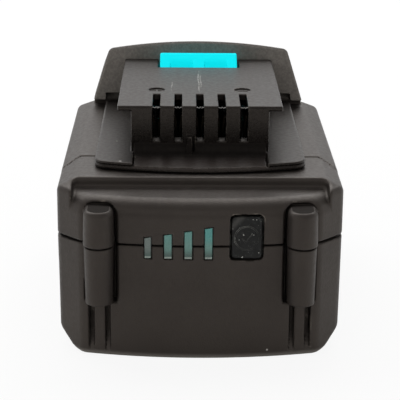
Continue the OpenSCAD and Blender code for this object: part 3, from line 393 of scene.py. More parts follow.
def rail_form(x, y, z):
    """Rail head: bowed platform with its ramp, hollow neck with five slots, flanged deck with dimples."""
    ax = np.abs(x)
    before_neck = NECK_Y - y + NECK_LEAN * (NECK_TOP - z)
    bow = np.hypot(x, y - PLATFORM_Y - PLATFORM_ARC) - PLATFORM_ARC
    lip = LIP_D * np.exp(-((z - ROOF - LIP_RISE) / LIP_W) ** 2)
    outline = round_max(ax - PLATFORM_HALF, bow, PLATFORM_R, PLATFORM_COS) + lip
    plate = round_max(round_max(outline, z - PLATFORM_TOP, PLATFORM_RIM_R), ROOF - z, 0.3)
    ramp_way = inside_all(ax - RAMP_HALF, y - NECK_FOOT - 0.5, RAMP_Z - z)
    side_groove = inside_all(np.abs(ax - RAMP_HALF + RAMP_GROOVE_HALF) - RAMP_GROOVE_HALF,
                             y - NECK_Y + 0.6, RAMP_Z - RAMP_GROOVE_D - z)
    plate = cut(cut(plate, ramp_way, RAMP_RIM_R), side_groove, 0.1)
    neck = inside_all(round_max(ax - NECK_HALF, before_neck, NECK_EDGE_R), z - DECK_TOP + 0.5, ROOF - z)
    flat = np.abs(z - DECK_TOP + FLANGE / 2) - FLANGE / 2
    deck = round_max(round_max(ax - DECK_HALF, NECK_Y - y, DECK_CORNER_R), flat, DECK_EDGE_R)
    body = round_min(round_min(plate, neck, 0.1), deck, NECK_EDGE_R * ramp(y, NECK_Y + 0.6, NECK_Y + 1.6))
    body = neck_foot(body, x, y, z)
    hollow = inside_all(ax - NECK_HALF + NECK_WALL, before_neck + NECK_WALL, z - DECK_UNDER)
    body = np.maximum(np.maximum(body, -hollow), y - DECK_REAR)
    nearest = x - SLOT_PITCH * np.clip(np.round(x / SLOT_PITCH), -2, 2)
    sill = SILL - 1 + SILL_SLOPE * np.clip(y - NECK_Y + 1, 0, SILL_RUN)
    slot = inside_all(np.abs(nearest) - SLOT_W / 2, y - NECK_Y - SLOT_L, NECK_Y - 1 - y, sill - z)
    body = cut(body, slot, SLOT_RIM_R)
    u, v = ax - DIMPLE_X, y - DIMPLE_Y
    sign = stroke(u, v, (-SIGN_REACH, 0), (SIGN_REACH, 0), SIGN_HALF)
    upright = stroke(u, v, (0, -SIGN_REACH), (0, SIGN_REACH), SIGN_HALF)
    sign = np.minimum(sign, np.where(x < 0, upright, 9))
    dish = DECK_TOP - DIMPLE_D + SIGN_RISE * ramp(-sign, -0.15, 0.1) - z
    body = cut(body, np.maximum(np.hypot(u, v) - DIMPLE_R, dish), DIMPLE_RIM_R)
    notch = inside_all(ax - HOOK_HALF - LATCH_GAP, HOOK_Y - LATCH_GAP - y, DECK_UNDER - 1 - z)
    return cut(body, notch, 0.3)


def latch_form(x, y, z):
    """Release latch: hook with a ramp and two scoops, slab, stop block, skirt and ribbed thumb pad."""
    ax = np.abs(x)
    foot = DECK_TOP - HOOK_DROP
    rise = math.atan2(HOOK_TOP - foot, HOOK_REAR - HOOK_FLAT - HOOK_Y)
    ramp_face = (z - foot) * math.cos(rise) - (y - HOOK_Y) * math.sin(rise)
    hook = round_max(z - HOOK_TOP, ramp_face, HOOK_CROWN_R, math.cos(rise))
    hook = round_max(hook, y - HOOK_REAR, HOOK_EDGE_R)
    hook = round_max(inside_all(hook, HOOK_Y - y, SLAB_Z - z), ax - HOOK_HALF, HOOK_EDGE_R)
    along = (y - HOOK_Y) * math.cos(rise) + (z - foot) * math.sin(rise)
    scoops = np.maximum(np.abs(ax - SCOOP_X) - SCOOP_HALF, -ramp_face - SCOOP_D + SCOOP_SLOPE * along)
    hook = cut(hook, scoops, SCOOP_R)
    slab = round_rect(x, z - SLAB_Z - SLAB_T / 2, HOOK_HALF, SLAB_T / 2, 0.4)
    slab = inside_all(slab, SLAB_Y - y, y - PAD_Y - 1)
    stop = inside_all(ax - HOOK_HALF, SLAB_Y - y, y - SLAB_Y - STOP_L, SLAB_Z - z, z - DECK_UNDER + 0.3)
    skirt = inside_all(ax - HOOK_HALF, np.abs(y - HOOK_REAR - SKIRT_BACK) - SKIRT_HALF,
                       SLAB_Z - SKIRT_DROP - z, z - SLAB_Z - 0.5)
    pad_top = z - CREST + PAD_SINK + (y - HOOD_Y - HOOD_FLAT) * math.tan(HOOD_SLOPE)
    ribs = PAD_RIB_H * np.cos((y - PAD_Y) * 2 * math.pi / PAD_RIB_PITCH)
    ribs = ribs * ramp(ax, PAD_HALF - 1.2, PAD_HALF - 1.9)
    pad = round_max(pad_top * math.cos(HOOD_SLOPE) - ribs, y - PAD_REAR, PAD_REAR_R)
    pad = round_max(inside_all(pad, PAD_Y - y, PAD_FOOT - z), ax - PAD_HALF, PAD_SIDE_R)
    pad = np.maximum(pad, -inside_all(y - PAD_REAR + 3, z - SLAB_Z))
    return np.minimum(np.minimum(np.minimum(hook, slab), skirt), np.minimum(stop, pad))


def button_form(x, y, z):
    """Test button: a softly domed rubber key with a raised ring and tick, on its flange."""
    u, v = x - BUTTON_X, z - BUTTON_Z
    ring = np.abs(np.hypot(u, v) - RING_R) - MARK_HALF
    turn = (-0.3, -1.1)
    tick = np.minimum(stroke(u, v, (-1.2, 0.0), turn), stroke(u, v, turn, (1.5, 1.3)))
    raised = MARK_RISE * ramp(-np.minimum(ring, tick), -0.12, 0.06)
    face = button_low[1] + MARK_RISE + BUTTON_DOME * (u * u + 0.5 * v * v) - raised
    key = round_rect(u, v, *(BUTTON_HALF - BUTTON_INSET), BUTTON_CORNER_R)
    key = round_max(key, face - y, BUTTON_EDGE_R)
    flange = round_rect(u, v, *(BUTTON_HALF + BUTTON_FLANGE), BUTTON_CORNER_R + BUTTON_FLANGE)
    flange = inside_all(flange, button_high[1] - BUTTON_FLANGE_T - y)
    return np.maximum(np.minimum(key, flange), y - button_high[1])


def stroke(u, v, start, end, half=MARK_HALF):
    """Distance outside a stroke of this half width between two points."""
    du, dv = end[0] - start[0], end[1] - start[1]
    along = np.clip(((u - start[0]) * du + (v - start[1]) * dv) / (du * du + dv * dv), 0, 1)
    return np.hypot(u - start[0] - along * du, v - start[1] - along * dv) - half


def grid_lines(low, high, coarse, fine, spots):
    """Grid lines from low to high: spaced by coarse, and by fine within each spot's two ends."""
    t = np.linspace(low - 1, high + 1, 6000)
    near = np.zeros_like(t)
    for start, end in spots:
        near = np.maximum(near, ramp(t, start - 2, start) * ramp(-t, -end - 2, -end))
    count = np.cumsum(1 / (coarse + (fine - coarse) * near)) * (t[1] - t[0])
    return np.interp(np.arange(0, count[-1], 1.0), count, t)


CORNERS = np.array([(i, j, k) for i in (0, 1) for j in (0, 1) for k in (0, 1)])
EDGES = np.array([(a, b) for a in range(8) for b in range(a + 1, 8)
                  if np.abs(CORNERS[a] - CORNERS[b]).sum() == 1])


def slope_of(field, points, reach=0.02):
    """Gradient of the field at each point, from differences over a short reach."""
    grade = np.empty_like(points)
    for axis in range(3):
        ahead, behind = points.copy(), points.copy()
        ahead[:, axis] += reach
        behind[:, axis] -= reach
        grade[:, axis] = (field(*ahead.T) - field(*behind.T)) / (2 * reach)
    return grade


def zero_surface(field, lines):
    """Points, normals and quads of the field's zero surface.

    Each grid cell that the surface passes through gets one point, the mean of where its edges are crossed,
    moved onto the surface along the field's slope. Each crossed grid edge joins the four cells round it.
    """
    xs, ys, zs = lines
    shape = (len(xs), len(ys), len(zs))
    values = np.broadcast_to(field(xs[:, None, None], ys[None, :, None], zs[None, None, :]), shape)
    inside = values < 0
    counts = sum(inside[i:shape[0] - 1 + i, j:shape[1] - 1 + j, k:shape[2] - 1 + k].astype(np.int8)
                 for i, j, k in CORNERS)
    crossed = (counts > 0) & (counts < 8)
    cells = np.argwhere(crossed)
    numbers = np.full(crossed.shape, -1)
    numbers[crossed] = np.arange(len(cells))
    at = cells[:, None, :] + CORNERS
    ends = values[at[..., 0], at[..., 1], at[..., 2]]
    places = np.stack([xs[at[..., 0]], ys[at[..., 1]], zs[at[..., 2]]], -1)
    first, last = ends[:, EDGES[:, 0]], ends[:, EDGES[:, 1]]
    hit = (first < 0) != (last < 0)
    share = np.where(hit, first / np.where(hit, first - last, 1), 0)[..., None]
    on_edge = places[:, EDGES[:, 0]] + share * (places[:, EDGES[:, 1]] - places[:, EDGES[:, 0]])
    points = (on_edge * hit[..., None]).sum(1) / hit.sum(1)[:, None]
    for _ in range(2):
        grade = slope_of(field, points)
        step = field(*points.T) / np.maximum((grade ** 2).sum(1), 0.25)
        points = points - np.clip(step, -0.3, 0.3)[:, None] * grade
    grade = slope_of(field, points)
    normals = grade / np.maximum(np.linalg.norm(grade, axis=1), 1e-6)[:, None]
    quads = [edge_quads(inside, numbers, axis) for axis in range(3)]
    return points, normals, np.concatenate(quads)


def edges_and_hollows(field, points, normals, inward=0.5, outward=1.5):
    """How far each point lies on an outer edge and in a narrow hollow, from 0 on flat faces to 1.

    A step of this length along the normal changes the field by less than its length near an edge or hollow.
    """
    edge = (field(*(points - inward * normals).T) + inward) / inward
    hollow = (outward - field(*(points + outward * normals).T)) / outward
    return {"edge": np.clip(edge, 0, 1), "hollow": np.clip(hollow, 0, 1)}


def edge_quads(inside, numbers, axis):
    """Quads round the crossed grid edges along one axis, turned to face out of the plastic."""
    turned = np.moveaxis(inside, (axis, (axis + 1) % 3, (axis + 2) % 3), (0, 1, 2))
    ids = np.moveaxis(numbers, (axis, (axis + 1) % 3, (axis + 2) % 3), (0, 1, 2))
    solid_first = turned[:-1, 1:-1, 1:-1]
    i, j, k = np.nonzero(solid_first != turned[1:, 1:-1, 1:-1])
    ring = np.stack([ids[i, j, k], ids[i, j + 1, k], ids[i, j + 1, k + 1], ids[i, j, k + 1]], 1)
    return np.where(solid_first[i, j, k][:, None], ring, ring[:, ::-1])


def mesh_piece(name, points, quads, finish, normals=None, values=None):
    """A smooth mesh object from points in millimetres and quads, with named values on its points."""
    mesh = bpy.data.meshes.new(name)
    mesh.vertices.add(len(points))
    mesh.vertices.foreach_set("co", (points * MM).astype(np.float32).ravel())
    mesh.loops.add(quads.size)
    mesh.loops.foreach_set("vertex_index", quads.astype(np.int32).ravel())
    mesh.polygons.add(len(quads))
    mesh.polygons.foreach_set("loop_start", np.arange(0, quads.size, quads.shape[1], dtype=np.int32))
    mesh.update(calc_edges=True)
    mesh.validate()
    mesh.shade_smooth()
    if normals is not None:
        mesh.normals_split_custom_set_from_vertices(normals)
    for key, value in (values or {}).items():
        mesh.attributes.new(key, "FLOAT", "POINT").data.foreach_set("value", value.astype(np.float32))
    mesh.materials.append(finish)
    piece = bpy.data.objects.new(name, mesh)
    bpy.context.scene.collection.objects.link(piece)
    return piece


def moulding(name, field, lines, finish, node, body):
    """A moulded piece that stands for a CAD node and rides on its body."""
    points, normals, quads = zero_surface(field, lines)
    piece = mesh_piece(name, points, quads, finish, normals, edges_and_hollows(field, points, normals))
    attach(piece, body)
    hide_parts(node)
    print(name, len(quads) * 2, "triangles")


def tube(path, side, radius, sides=6):
    """A closed tube: a circle of this radius along the path, with its first corner towards side."""
    ahead = np.gradient(path, axis=0)
    ahead /= np.linalg.norm(ahead, axis=1)[:, None]
    across = np.cross(ahead, side)
    turn = np.arange(sides)[:, None] * 2 * math.pi / sides
    rings = path[:, None] + radius * (np.cos(turn) * side[:, None] + np.sin(turn) * across[:, None])
    i, j = np.meshgrid(np.arange(len(path) - 1), np.arange(sides), indexing="ij")
    first, second = i * sides + j, i * sides + (j + 1) % sides
    walls = np.stack([first, second, second + sides, first + sides], -1).reshape(-1, 4)
    cap = np.array([(0, k, k + 1, k + 2) for k in range(1, sides - 2, 2)])
    return rings.reshape(-1, 3), np.concatenate([walls, cap[:, ::-1], cap + (len(path) - 1) * sides])


class Value:
    """A shader socket. Arithmetic on it adds Math nodes to its material."""

    def __init__(self, finish, socket):
        self.finish, self.socket = finish, socket

    def math(self, operation, first, second):
        return self.finish.node("ShaderNodeMath", {"operation": operation}, {0: first, 1: second})

    def __add__(self, other):
        return self.math("ADD", self, other)

    def __sub__(self, other):
        return self.math("SUBTRACT", self, other)

    def __mul__(self, other):
        return self.math("MULTIPLY", self, other)

    def __radd__(self, other):
        return self.math("ADD", other, self)

    def __rsub__(self, other):
        return self.math("SUBTRACT", other, self)

    def __rmul__(self, other):
        return self.math("MULTIPLY", other, self)

    def __abs__(self):
        return self.finish.node("ShaderNodeMath", {"operation": "ABSOLUTE"}, {0: self})


class Finish:
    """A material whose nodes are added by one method."""

    def __init__(self, name, **constants):
        self.material = bpy.data.materials.new(name)
        self.material.use_nodes = True
        self.tree = self.material.node_tree
        self.shader = self.tree.nodes["Principled BSDF"]
        for socket, value in constants.items():
            self.shader.inputs[socket.replace("_", " ")].default_value = value
        self.place = self.node("ShaderNodeTexCoord", out="Object")

    def node(self, kind, settings=None, inputs=None, out=0):
        """Adds a node: its settings first, then the values or links of its sockets."""
        made = self.tree.nodes.new(kind)
        for key, value in (settings or {}).items():
            setattr(made, key, value)
        for key, value in (inputs or {}).items():
            if isinstance(value, Value):
                self.tree.links.new(value.socket, made.inputs[key])
            else:
                made.inputs[key].default_value = value
        return Value(self, made.outputs[out])

    def axes(self, vector):
        """The three parts of a vector."""
        return [self.node("ShaderNodeSeparateXYZ", inputs={"Vector": vector}, out=axis) for axis in "XYZ"]

    def feed(self, socket, value):
        self.tree.links.new(value.socket, self.shader.inputs[socket])

    def noise(self, scale, detail=3.0, rough=0.5, place=None):
        inputs = {"Vector": place or self.place, "Scale": scale, "Detail": detail, "Roughness": rough}
        return self.node("ShaderNodeTexNoise", inputs=inputs, out="Fac")

    def spread(self, value, low, high, to_low=0.0, to_high=1.0):
        inputs = {"Value": value, "From Min": low, "From Max": high, "To Min": to_low, "To Max": to_high}
        return self.node("ShaderNodeMapRange", {"clamp": True, "interpolation_type": "SMOOTHSTEP"}, inputs)

    def reach(self, value, start, end):
        """Rises from 0 at start to 1 at end, both in millimetres."""
        return self.spread(value, start * MM, end * MM)

    def attribute(self, name):
        return self.node("ShaderNodeAttribute", {"attribute_name": name}, out="Fac")

    def blend(self, share, first, second):
        inputs = {0: share, 6: first, 7: second}
        return self.node("ShaderNodeMix", {"data_type": "RGBA"}, inputs, out=2)

    def bump(self, height, distance, strength=1.0):
        inputs = {"Height": height, "Distance": distance, "Strength": strength}
        self.feed("Normal", self.node("ShaderNodeBump", inputs=inputs, out="Normal"))


def rgb(*screen):
    """A colour given as its 0 to 255 values on screen, as the shader's linear colour."""
    shares = [value / 255 for value in screen]
    linear = [c / 12.92 if c <= 0.04045 else ((c + 0.055) / 1.055) ** 2.4 for c in shares]
    return (*linear, 1.0)


def pale_marks(f, x, y, z, scratches, specks):
    """Share of pale marks: scattered specks, placed specks and scratches.

    Each scratch runs along Y at height z: (x, start, end, z) in millimetres. Each placed speck is a point in
    millimetres with its radius.
    """
    cells = {"Vector": f.place, "Scale": 95.0}
    spots = f.node("ShaderNodeTexVoronoi", {"feature": "F1"}, cells, out="Distance")
    marks = f.spread(spots, 0.045, 0.03) * f.spread(f.noise(40, 1.0), 0.60, 0.66) * 0.7
    for *place, radius in specks:
        ends = {0: f.place, 1: [c * MM for c in place]}
        away = f.node("ShaderNodeVectorMath", {"operation": "DISTANCE"}, ends, out="Value")
        marks = marks + f.reach(away, radius, 0.5 * radius)
    for scratch_x, start, end, height in scratches:
        wander = (f.noise(90, 2.0) - 0.5) * 0.0012
        line = f.reach(abs(x - scratch_x * MM + wander), 0.22, 0.06) * f.spread(f.noise(700, 3.0), 0.35, 0.6)
        line = line * f.reach(y, start, start + 5) * f.reach(y, end, end - 5)
        marks = marks + line * f.reach(z, height - 0.4, height - 0.2) * 0.6
    return marks


def shell_plastic(name, dark, light, rough, polish, shine, scratches=(), specks=()):
    """Fine spark-textured black plastic: faint mottling, dust on top, worn edges, pale specks and scratches.

    polish is how much smoother the upright faces are. Painted light: the hood's front and the ramp are
    painted paler, the lower faces lighter towards the bottom, and the edge of the base pale as a painted
    reflection of the
    floor. Painted shade: narrow hollows, tower tops, slot ends and the cove at the neck are painted dark and
    rougher.
    """
    f = Finish(name, Specular_IOR_Level=shine, Specular_Tint=rgb(255, 240, 228))
    x, y, z = f.axes(f.place)
    wide = abs(x)
    _, back, up = f.axes(f.node("ShaderNodeNewGeometry", out="Normal"))
    base = f.blend(f.spread(f.noise(60, 4.0, 0.6), 0.35, 0.7), dark, light)
    # Painted light: the hood's front face is painted paler, with a fine grain, for light falling on it
    hood = f.reach(y, HOOD_Y - 0.3, HOOD_Y - 0.1) * f.reach(z, ROOF + 1, ROOF + 3)
    hood = hood * f.spread(back, -0.5, -0.9)
    grain = f.spread(f.noise(1500, 3.0), 0.3, 0.7, 0.7, 1.0)
    base = f.blend(hood * grain, base, rgb(132, 127, 121))
    # Painted light: the ramp before the neck is painted paler, for light falling on it
    on_ramp = f.reach(wide, RAMP_HALF, RAMP_HALF - 0.3)
    ramp_painted_light = on_ramp * f.reach(y, NECK_Y, NECK_Y - 2)
    ramp_painted_light = ramp_painted_light * f.reach(z, ROOF + 0.7, ROOF + 1) * f.reach(z, RAMP_Z + 0.5, RAMP_Z + 0.3)
    base = f.blend(ramp_painted_light, base, rgb(44, 39, 37))
    # Painted light: the lower faces are painted lighter towards the bottom, for light thrown up by the floor
    base = f.blend(f.reach(z, 24, 0) * 0.5, base, rgb(58, 53, 49))
    # Painted reflection: the edge of the base is painted pale, for the bright floor reflected in it
    base = f.blend(f.reach(z, 2.2, 0.4) * 0.7, base, rgb(150, 145, 138))
    wiped = f.node("ShaderNodeMapping", inputs={"Vector": f.place, "Scale": (420, 25, 60)}, out="Vector")
    dust = f.spread(up, 0.55, 0.95) * f.spread(f.noise(1.0, 5.0, 0.65, wiped), 0.42, 0.8)
    base = f.blend(dust * 0.12, base, rgb(104, 99, 95))
    worn = f.spread(f.attribute("edge"), 0.25, 0.8) * f.spread(f.noise(240, 5.0, 0.7), 0.48, 0.7)
    base = f.blend(worn * 0.7, base, rgb(140, 132, 122))
    base = f.blend(pale_marks(f, x, y, z, scratches, specks), base, rgb(186, 182, 177))
    # Painted shade: tower tops, slot ends, the cove at the neck and narrow hollows are painted near black
    tower_top_shade = f.reach(wide, TOWER_X - 4.2, TOWER_X - 3.8) * f.spread(up, 0.93, 0.99)
    tower_top_shade = tower_top_shade * f.reach(z, TOWER_TOP - 1, TOWER_TOP - 0.5) * f.reach(z, TOWER_TOP + 0.6, TOWER_TOP + 0.3)
    ends = f.reach(wide, 15, 14) * f.reach(z, DECK_TOP - 0.3, DECK_TOP - 0.7)
    ends = ends * f.reach(y, NECK_Y + 2, NECK_Y + 3) * f.reach(y, DECK_REAR - 1, DECK_REAR - 2)
    cove_shade = on_ramp * f.reach(z, RAMP_Z + 3.6, RAMP_Z + 2.8)
    cove_shade = cove_shade * f.reach(y, NECK_FOOT - 4, NECK_FOOT - 1) * f.reach(y, NECK_FOOT + 0.6, NECK_FOOT + 0.3)
    placed = tower_top_shade * 0.9 + ends * 0.9 + cove_shade * 0.8
    hollows = f.spread(f.attribute("hollow"), 0.45, 0.8) * 0.45
    painted_shade = f.node("ShaderNodeMath", {"operation": "MAXIMUM"}, {0: hollows, 1: placed})
    f.feed("Base Color", f.blend(painted_shade, base, rgb(6, 5, 5)))
    grit = f.spread(f.noise(900, 3.0), 0.3, 0.7, rough - 0.05, rough + 0.05) + dust * 0.06
    smooth = f.spread(up, 0.8, 0.4) * polish
    f.feed("Roughness", grit - smooth + hood * 0.3 + painted_shade * 0.2 + (tower_top_shade + cove_shade) * 0.4)
    f.bump(f.noise(2200, 2.0), 0.00008, 0.6 - 2.6 * polish)
    return f.material


def latch_plastic():
    """Satin cyan plastic with faint flow marks, a painted glow on the hook's front faces and duller on the
    handled pad.
    """
    f = Finish("latch_plastic", Specular_IOR_Level=0.02, Emission_Strength=0.16)
    _, y, z = f.axes(f.place)
    # Painted glow: the hook's front-facing surfaces above the deck glow cyan, though the latch is no lamp
    facing = f.spread(f.axes(f.node("ShaderNodeNewGeometry", out="Normal"))[1], -0.1, -0.4)
    painted_glow = facing * f.reach(z, DECK_TOP - 0.8, DECK_TOP - 0.2)
    f.feed("Emission Color", f.blend(painted_glow, rgb(0, 0, 0), rgb(0, 240, 255)))
    pad = f.reach(y, PAD_Y - 2, PAD_Y - 1)
    grooves = f.spread(f.attribute("hollow"), 0.02, 0.3)
    cyan = f.blend(f.noise(180, 4.0), rgb(0, 236, 250), rgb(0, 246, 255))
    handled = f.blend(pad * 0.7, cyan, rgb(0, 176, 190))
    f.feed("Base Color", f.blend(pad * grooves * 0.7, handled, rgb(0, 92, 102)))
    f.feed("Roughness", f.spread(f.noise(700, 3.0), 0.3, 0.7, 0.5, 0.62))
    f.bump(f.noise(2200, 2.0), 0.00004, 0.4)
    return f.material


def button_rubber():
    """Soft black rubber with a smudged corner, the edges of its raised marks pale, most towards the upper
    left.
    """
    f = Finish("button_rubber", Specular_IOR_Level=0.28)
    x, _, z = f.axes(f.place)
    middle = BUTTON_X - BUTTON_Z
    kept = f.spread(x - z, (middle + 3) * MM, (middle - 2) * MM, 0.3, 1.0)
    smudge = f.reach(x - z, middle - 5.2, middle - 7.5) * f.spread(f.noise(300, 3.0), 0.35, 0.6)
    scuff = f.spread(f.noise(1400, 6.0, 0.7), 0.56, 0.72)
    edge = f.spread(f.attribute("edge"), 0.08, 0.4)
    worn = f.blend(scuff * 0.6, rgb(19, 19, 18), rgb(84, 86, 83))
    worn = f.blend(smudge * 0.5, worn, rgb(92, 90, 86))
    worn = f.blend(edge * f.spread(f.noise(500, 4.0), 0.3, 0.6) * kept, worn, rgb(118, 118, 113))
    f.feed("Base Color", f.blend(f.spread(f.noise(1100, 2.0), 0.7, 0.74), worn, rgb(190, 190, 184)))
    f.feed("Roughness", f.spread(f.noise(600, 4.0), 0.3, 0.7, 0.4, 0.62))
    f.bump(f.noise(1800, 4.0), 0.00005, 0.6)
    return f.material


def guide_plastic():
    """Smoky teal light guide: paler at the foot of each bar, greyer at the first bar."""
    f = Finish("guide_plastic", Specular_IOR_Level=0.5, Coat_Weight=0.3, Coat_Roughness=0.1)
    across, _, up = f.axes(f.place)
    grey = f.reach(across, BAR_FIRST_X + 3, BAR_FIRST_X + 2)
    last = f.reach(across, BAR_FIRST_X + 13, BAR_FIRST_X + 14)
    high = f.reach(up, BAR_BOTTOM + 3, BAR_BOTTOM + 7)
    teal = f.blend(f.noise(420, 3.0), rgb(86, 128, 119), rgb(98, 140, 131))
    teal = f.blend(high * (0.35 + last * 0.55), teal, rgb(66, 146, 140))
    glass = f.blend(grey * 0.9, teal, rgb(104, 112, 108))
    shade = f.reach(up, BAR_BOTTOM + 3.4, BAR_BOTTOM + 0.8)
    glass = f.blend(shade * 0.9, glass, rgb(56, 78, 72))
    foot = f.reach(up, BAR_BOTTOM + 0.8, BAR_BOTTOM + 0.6)
    f.feed("Base Color", f.blend(foot, glass, rgb(136, 148, 140)))
    f.feed("Roughness", f.spread(f.noise(500, 3.0), 0.3, 0.7, 0.2, 0.34))
    f.bump(f.noise(900, 2.0), 0.00003, 0.3)
    return f.material


def plain_plastic(name, dark, light, rough=0.55):
    """Moulded plastic or card with a faint grain between two shades."""
    f = Finish(name)
    f.feed("Base Color", f.blend(f.noise(220, 4.0), dark, light))
    f.feed("Roughness", f.spread(f.noise(800, 3.0), 0.3, 0.7, rough - 0.07, rough + 0.07))
    f.bump(f.noise(1800, 3.0), 0.00004, 0.4)
    return f.material


def drawn_metal(name, dark, light, rough=0.32):
    """Metal with fine drawn streaks along X."""
    f = Finish(name, Metallic=1.0)
    streaks = f.node("ShaderNodeMapping", inputs={"Vector": f.place, "Scale": (40, 900, 900)}, out="Vector")
    lines = f.noise(6.0, 4.0, 0.6, streaks)
    f.feed("Base Color", f.blend(lines, dark, light))
    f.feed("Roughness", f.spread(lines, 0.3, 0.7, rough - 0.08, rough + 0.1))
    f.bump(lines, 0.00002, 0.3)
    return f.material


shell_specks = [
    (-32.2, -6.4, 47.3, 0.3),
    (29.8, -11.8, 48.5, 0.3),
    (18.2, -53.3, 2.6, 0.35),
    (30.9, -53.6, 20.6, 0.2),
]
rail_specks = [
    (-23.5, -14.3, 50.1, 0.3),
    (15.5, -26.9, 54.5, 0.35),
    (-1.2, -26.5, 60.4, 0.3),
    (-21.8, -34.7, 50.1, 0.5),
]
deck_scratches = [(-0.1, -11, 19, DECK_TOP), (0.5, -6, 14, DECK_TOP), (-7.9, -10, 5, DECK_TOP)]
finishes = {
    "shell": shell_plastic("shell_plastic", rgb(36, 32, 30), rgb(42, 38, 35), 0.46, 0.0, 0.5,
                           specks=shell_specks),
    "latch": latch_plastic(),
    "light_guide": guide_plastic(),
    "button": button_rubber(),
    "steel": drawn_metal("zinc_steel", rgb(158, 158, 160), rgb(196, 196, 198)),
    "nickel": drawn_metal("satin_nickel", rgb(172, 169, 162), rgb(206, 203, 196)),
    # Painted shade: the contacts are painted near black for the shade deep in the slots
    "contact": drawn_metal("contact_painted_shade", rgb(34, 29, 24), rgb(46, 40, 32), 0.45),
    "circuit_board": plain_plastic("solder_mask", rgb(22, 84, 48), rgb(34, 104, 60), 0.35),
    "cell_sleeve": plain_plastic("cell_sleeve", rgb(44, 96, 150), rgb(56, 112, 168), 0.3),
    "holder": plain_plastic("moulded_black", rgb(36, 36, 38), rgb(48, 48, 50)),
    "card": plain_plastic("fibre_card", rgb(120, 132, 96), rgb(138, 150, 112), 0.7),
    "foam": plain_plastic("closed_foam", rgb(78, 79, 82), rgb(94, 95, 98), 0.85),
    "lamp": plain_plastic("lamp_white", rgb(214, 214, 210), rgb(228, 228, 224), 0.4),
    "ribbon": plain_plastic("flat_cable", rgb(186, 180, 158), rgb(202, 196, 174)),
    "bead": plain_plastic("epoxy_bead", rgb(120, 92, 44), rgb(140, 110, 56), 0.3),
}

for row in frame["record"]["subparts"]:
    cad = frame["nodes"][row["node"]].data
    cad.materials.clear()
    cad.materials.append(finishes[row["material_slot"]])

# Mouldings, with their grid lines gathered where the shape turns
rim = HALF_W - 5
tower_spots = [(-31.5, -21), (21, 31.5)]
side_spots = [(-HALF_W, -rim), (rim, HALF_W)]
end_spots = [(-HALF_L - 3.2, -HALF_L + 14), (HALF_L - 8, HALF_L + 3.2)]
display_spot = (-16, 17)

lower_lines = (
    grid_lines(-HALF_W, HALF_W, 0.9, 0.5, side_spots + tower_spots + [display_spot]),
    grid_lines(-HALF_L - TOWER_OUT, HALF_L + TOWER_OUT, 1.8, 0.55,
               [(-HALF_L - 3.2, -HALF_L + 6), end_spots[1]]),
    grid_lines(0, SEAM, 1.1, 0.45, [(0, 7), (14, 17), (27, SEAM + 0.5)]),
)
moulding("lower_shell", lower_shell, lower_lines, finishes["shell"], "lower_case", "pack")

upper_lines = (
    grid_lines(-HALF_W, HALF_W, 0.8, 0.5, side_spots + tower_spots + [display_spot]),
    grid_lines(-HALF_L - TOWER_OUT, HALF_L + TOWER_OUT, 1.6, 0.42,
               end_spots + [(STEP_Y - 2, STEP_Y + 1), (HOOD_Y - 1, HALF_L)]),
    grid_lines(SEAM, CREST, 0.6, 0.38, [(SEAM, SEAM + 1), (36, ROOF + 3)]),
)
moulding("upper_shell", upper_shell, upper_lines, finishes["shell"], "upper_case", "pack")

rail_lines = (
    grid_lines(-PLATFORM_HALF, PLATFORM_HALF, 0.6, 0.32,
               [(-16, 16), (-23.5, -18), (18, 23.5), (-29.5, -28), (28, 29.5)]),
    grid_lines(PLATFORM_Y, DECK_REAR, 1.2, 0.35,
               [(PLATFORM_Y, NECK_Y + 1), (DIMPLE_Y - 4, DIMPLE_Y + 3), (HOOK_Y - 1, HOOK_Y + 1)]),
    grid_lines(ROOF, DECK_TOP, 0.7, 0.33, [(ROOF, SILL + 1), (DECK_UNDER - 1, DECK_TOP)]),
)
rail_finish = shell_plastic("rail_plastic", rgb(16, 14, 13), rgb(21, 18, 17), 0.42, 0.16, 0.37,
                            deck_scratches, rail_specks)
moulding("rail_moulding", rail_form, rail_lines, rail_finish, "rail_head", "pack")

latch_lines = (
    grid_lines(-PAD_HALF, PAD_HALF, 0.5, 0.3, [(-PAD_HALF, -8), (-3, 3), (8, PAD_HALF)]),
    grid_lines(SLAB_Y, PAD_REAR, 0.6, 0.3, [(HOOK_Y - 1, HOOK_REAR + 1), (PAD_Y - 1, PAD_REAR)]),
    grid_lines(PAD_FOOT, HOOK_TOP, 0.45, 0.3, [(DECK_TOP - 2, HOOK_TOP)]),
)
moulding("latch_moulding", latch_form, latch_lines, finishes["latch"], "release_latch", "latch")

button_lines = (
    grid_lines(button_low[0], button_high[0], 0.15, 0.15, []),
    grid_lines(button_low[1], button_high[1], 0.25, 0.12, [(button_low[1], button_low[1] + 1)]),
    grid_lines(button_low[2], button_high[2], 0.15, 0.15, []),
)
moulding("button_key", button_form, button_lines, finishes["button"], "test_button", "button")

# Coil springs under the latch, fixed on the pack; they do not close up when it is pressed
for node in ("latch_spring_left", "latch_spring_right"):
    low, high = corners_mm(node)
    foot = np.array([(low[0] + high[0]) / 2, (low[1] + high[1]) / 2, low[2]])
    turn = np.linspace(0, 2 * math.pi * SPRING_TURNS, SPRING_STEPS * SPRING_TURNS + 1)
    outward = np.stack([np.cos(turn), np.sin(turn), np.zeros_like(turn)], 1)
    heights = np.linspace(SPRING_WIRE, high[2] - low[2] - SPRING_WIRE, len(turn))
    climb = heights[:, None] * np.array([0.0, 0.0, 1.0])
    route = foot + outward * ((high[0] - low[0]) / 2 - SPRING_WIRE) + climb
    coil = mesh_piece(node + "_coil", *tube(route, outward, SPRING_WIRE, 8), finishes["steel"])
    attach(coil, "pack")
    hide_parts(node)
    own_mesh(coil)

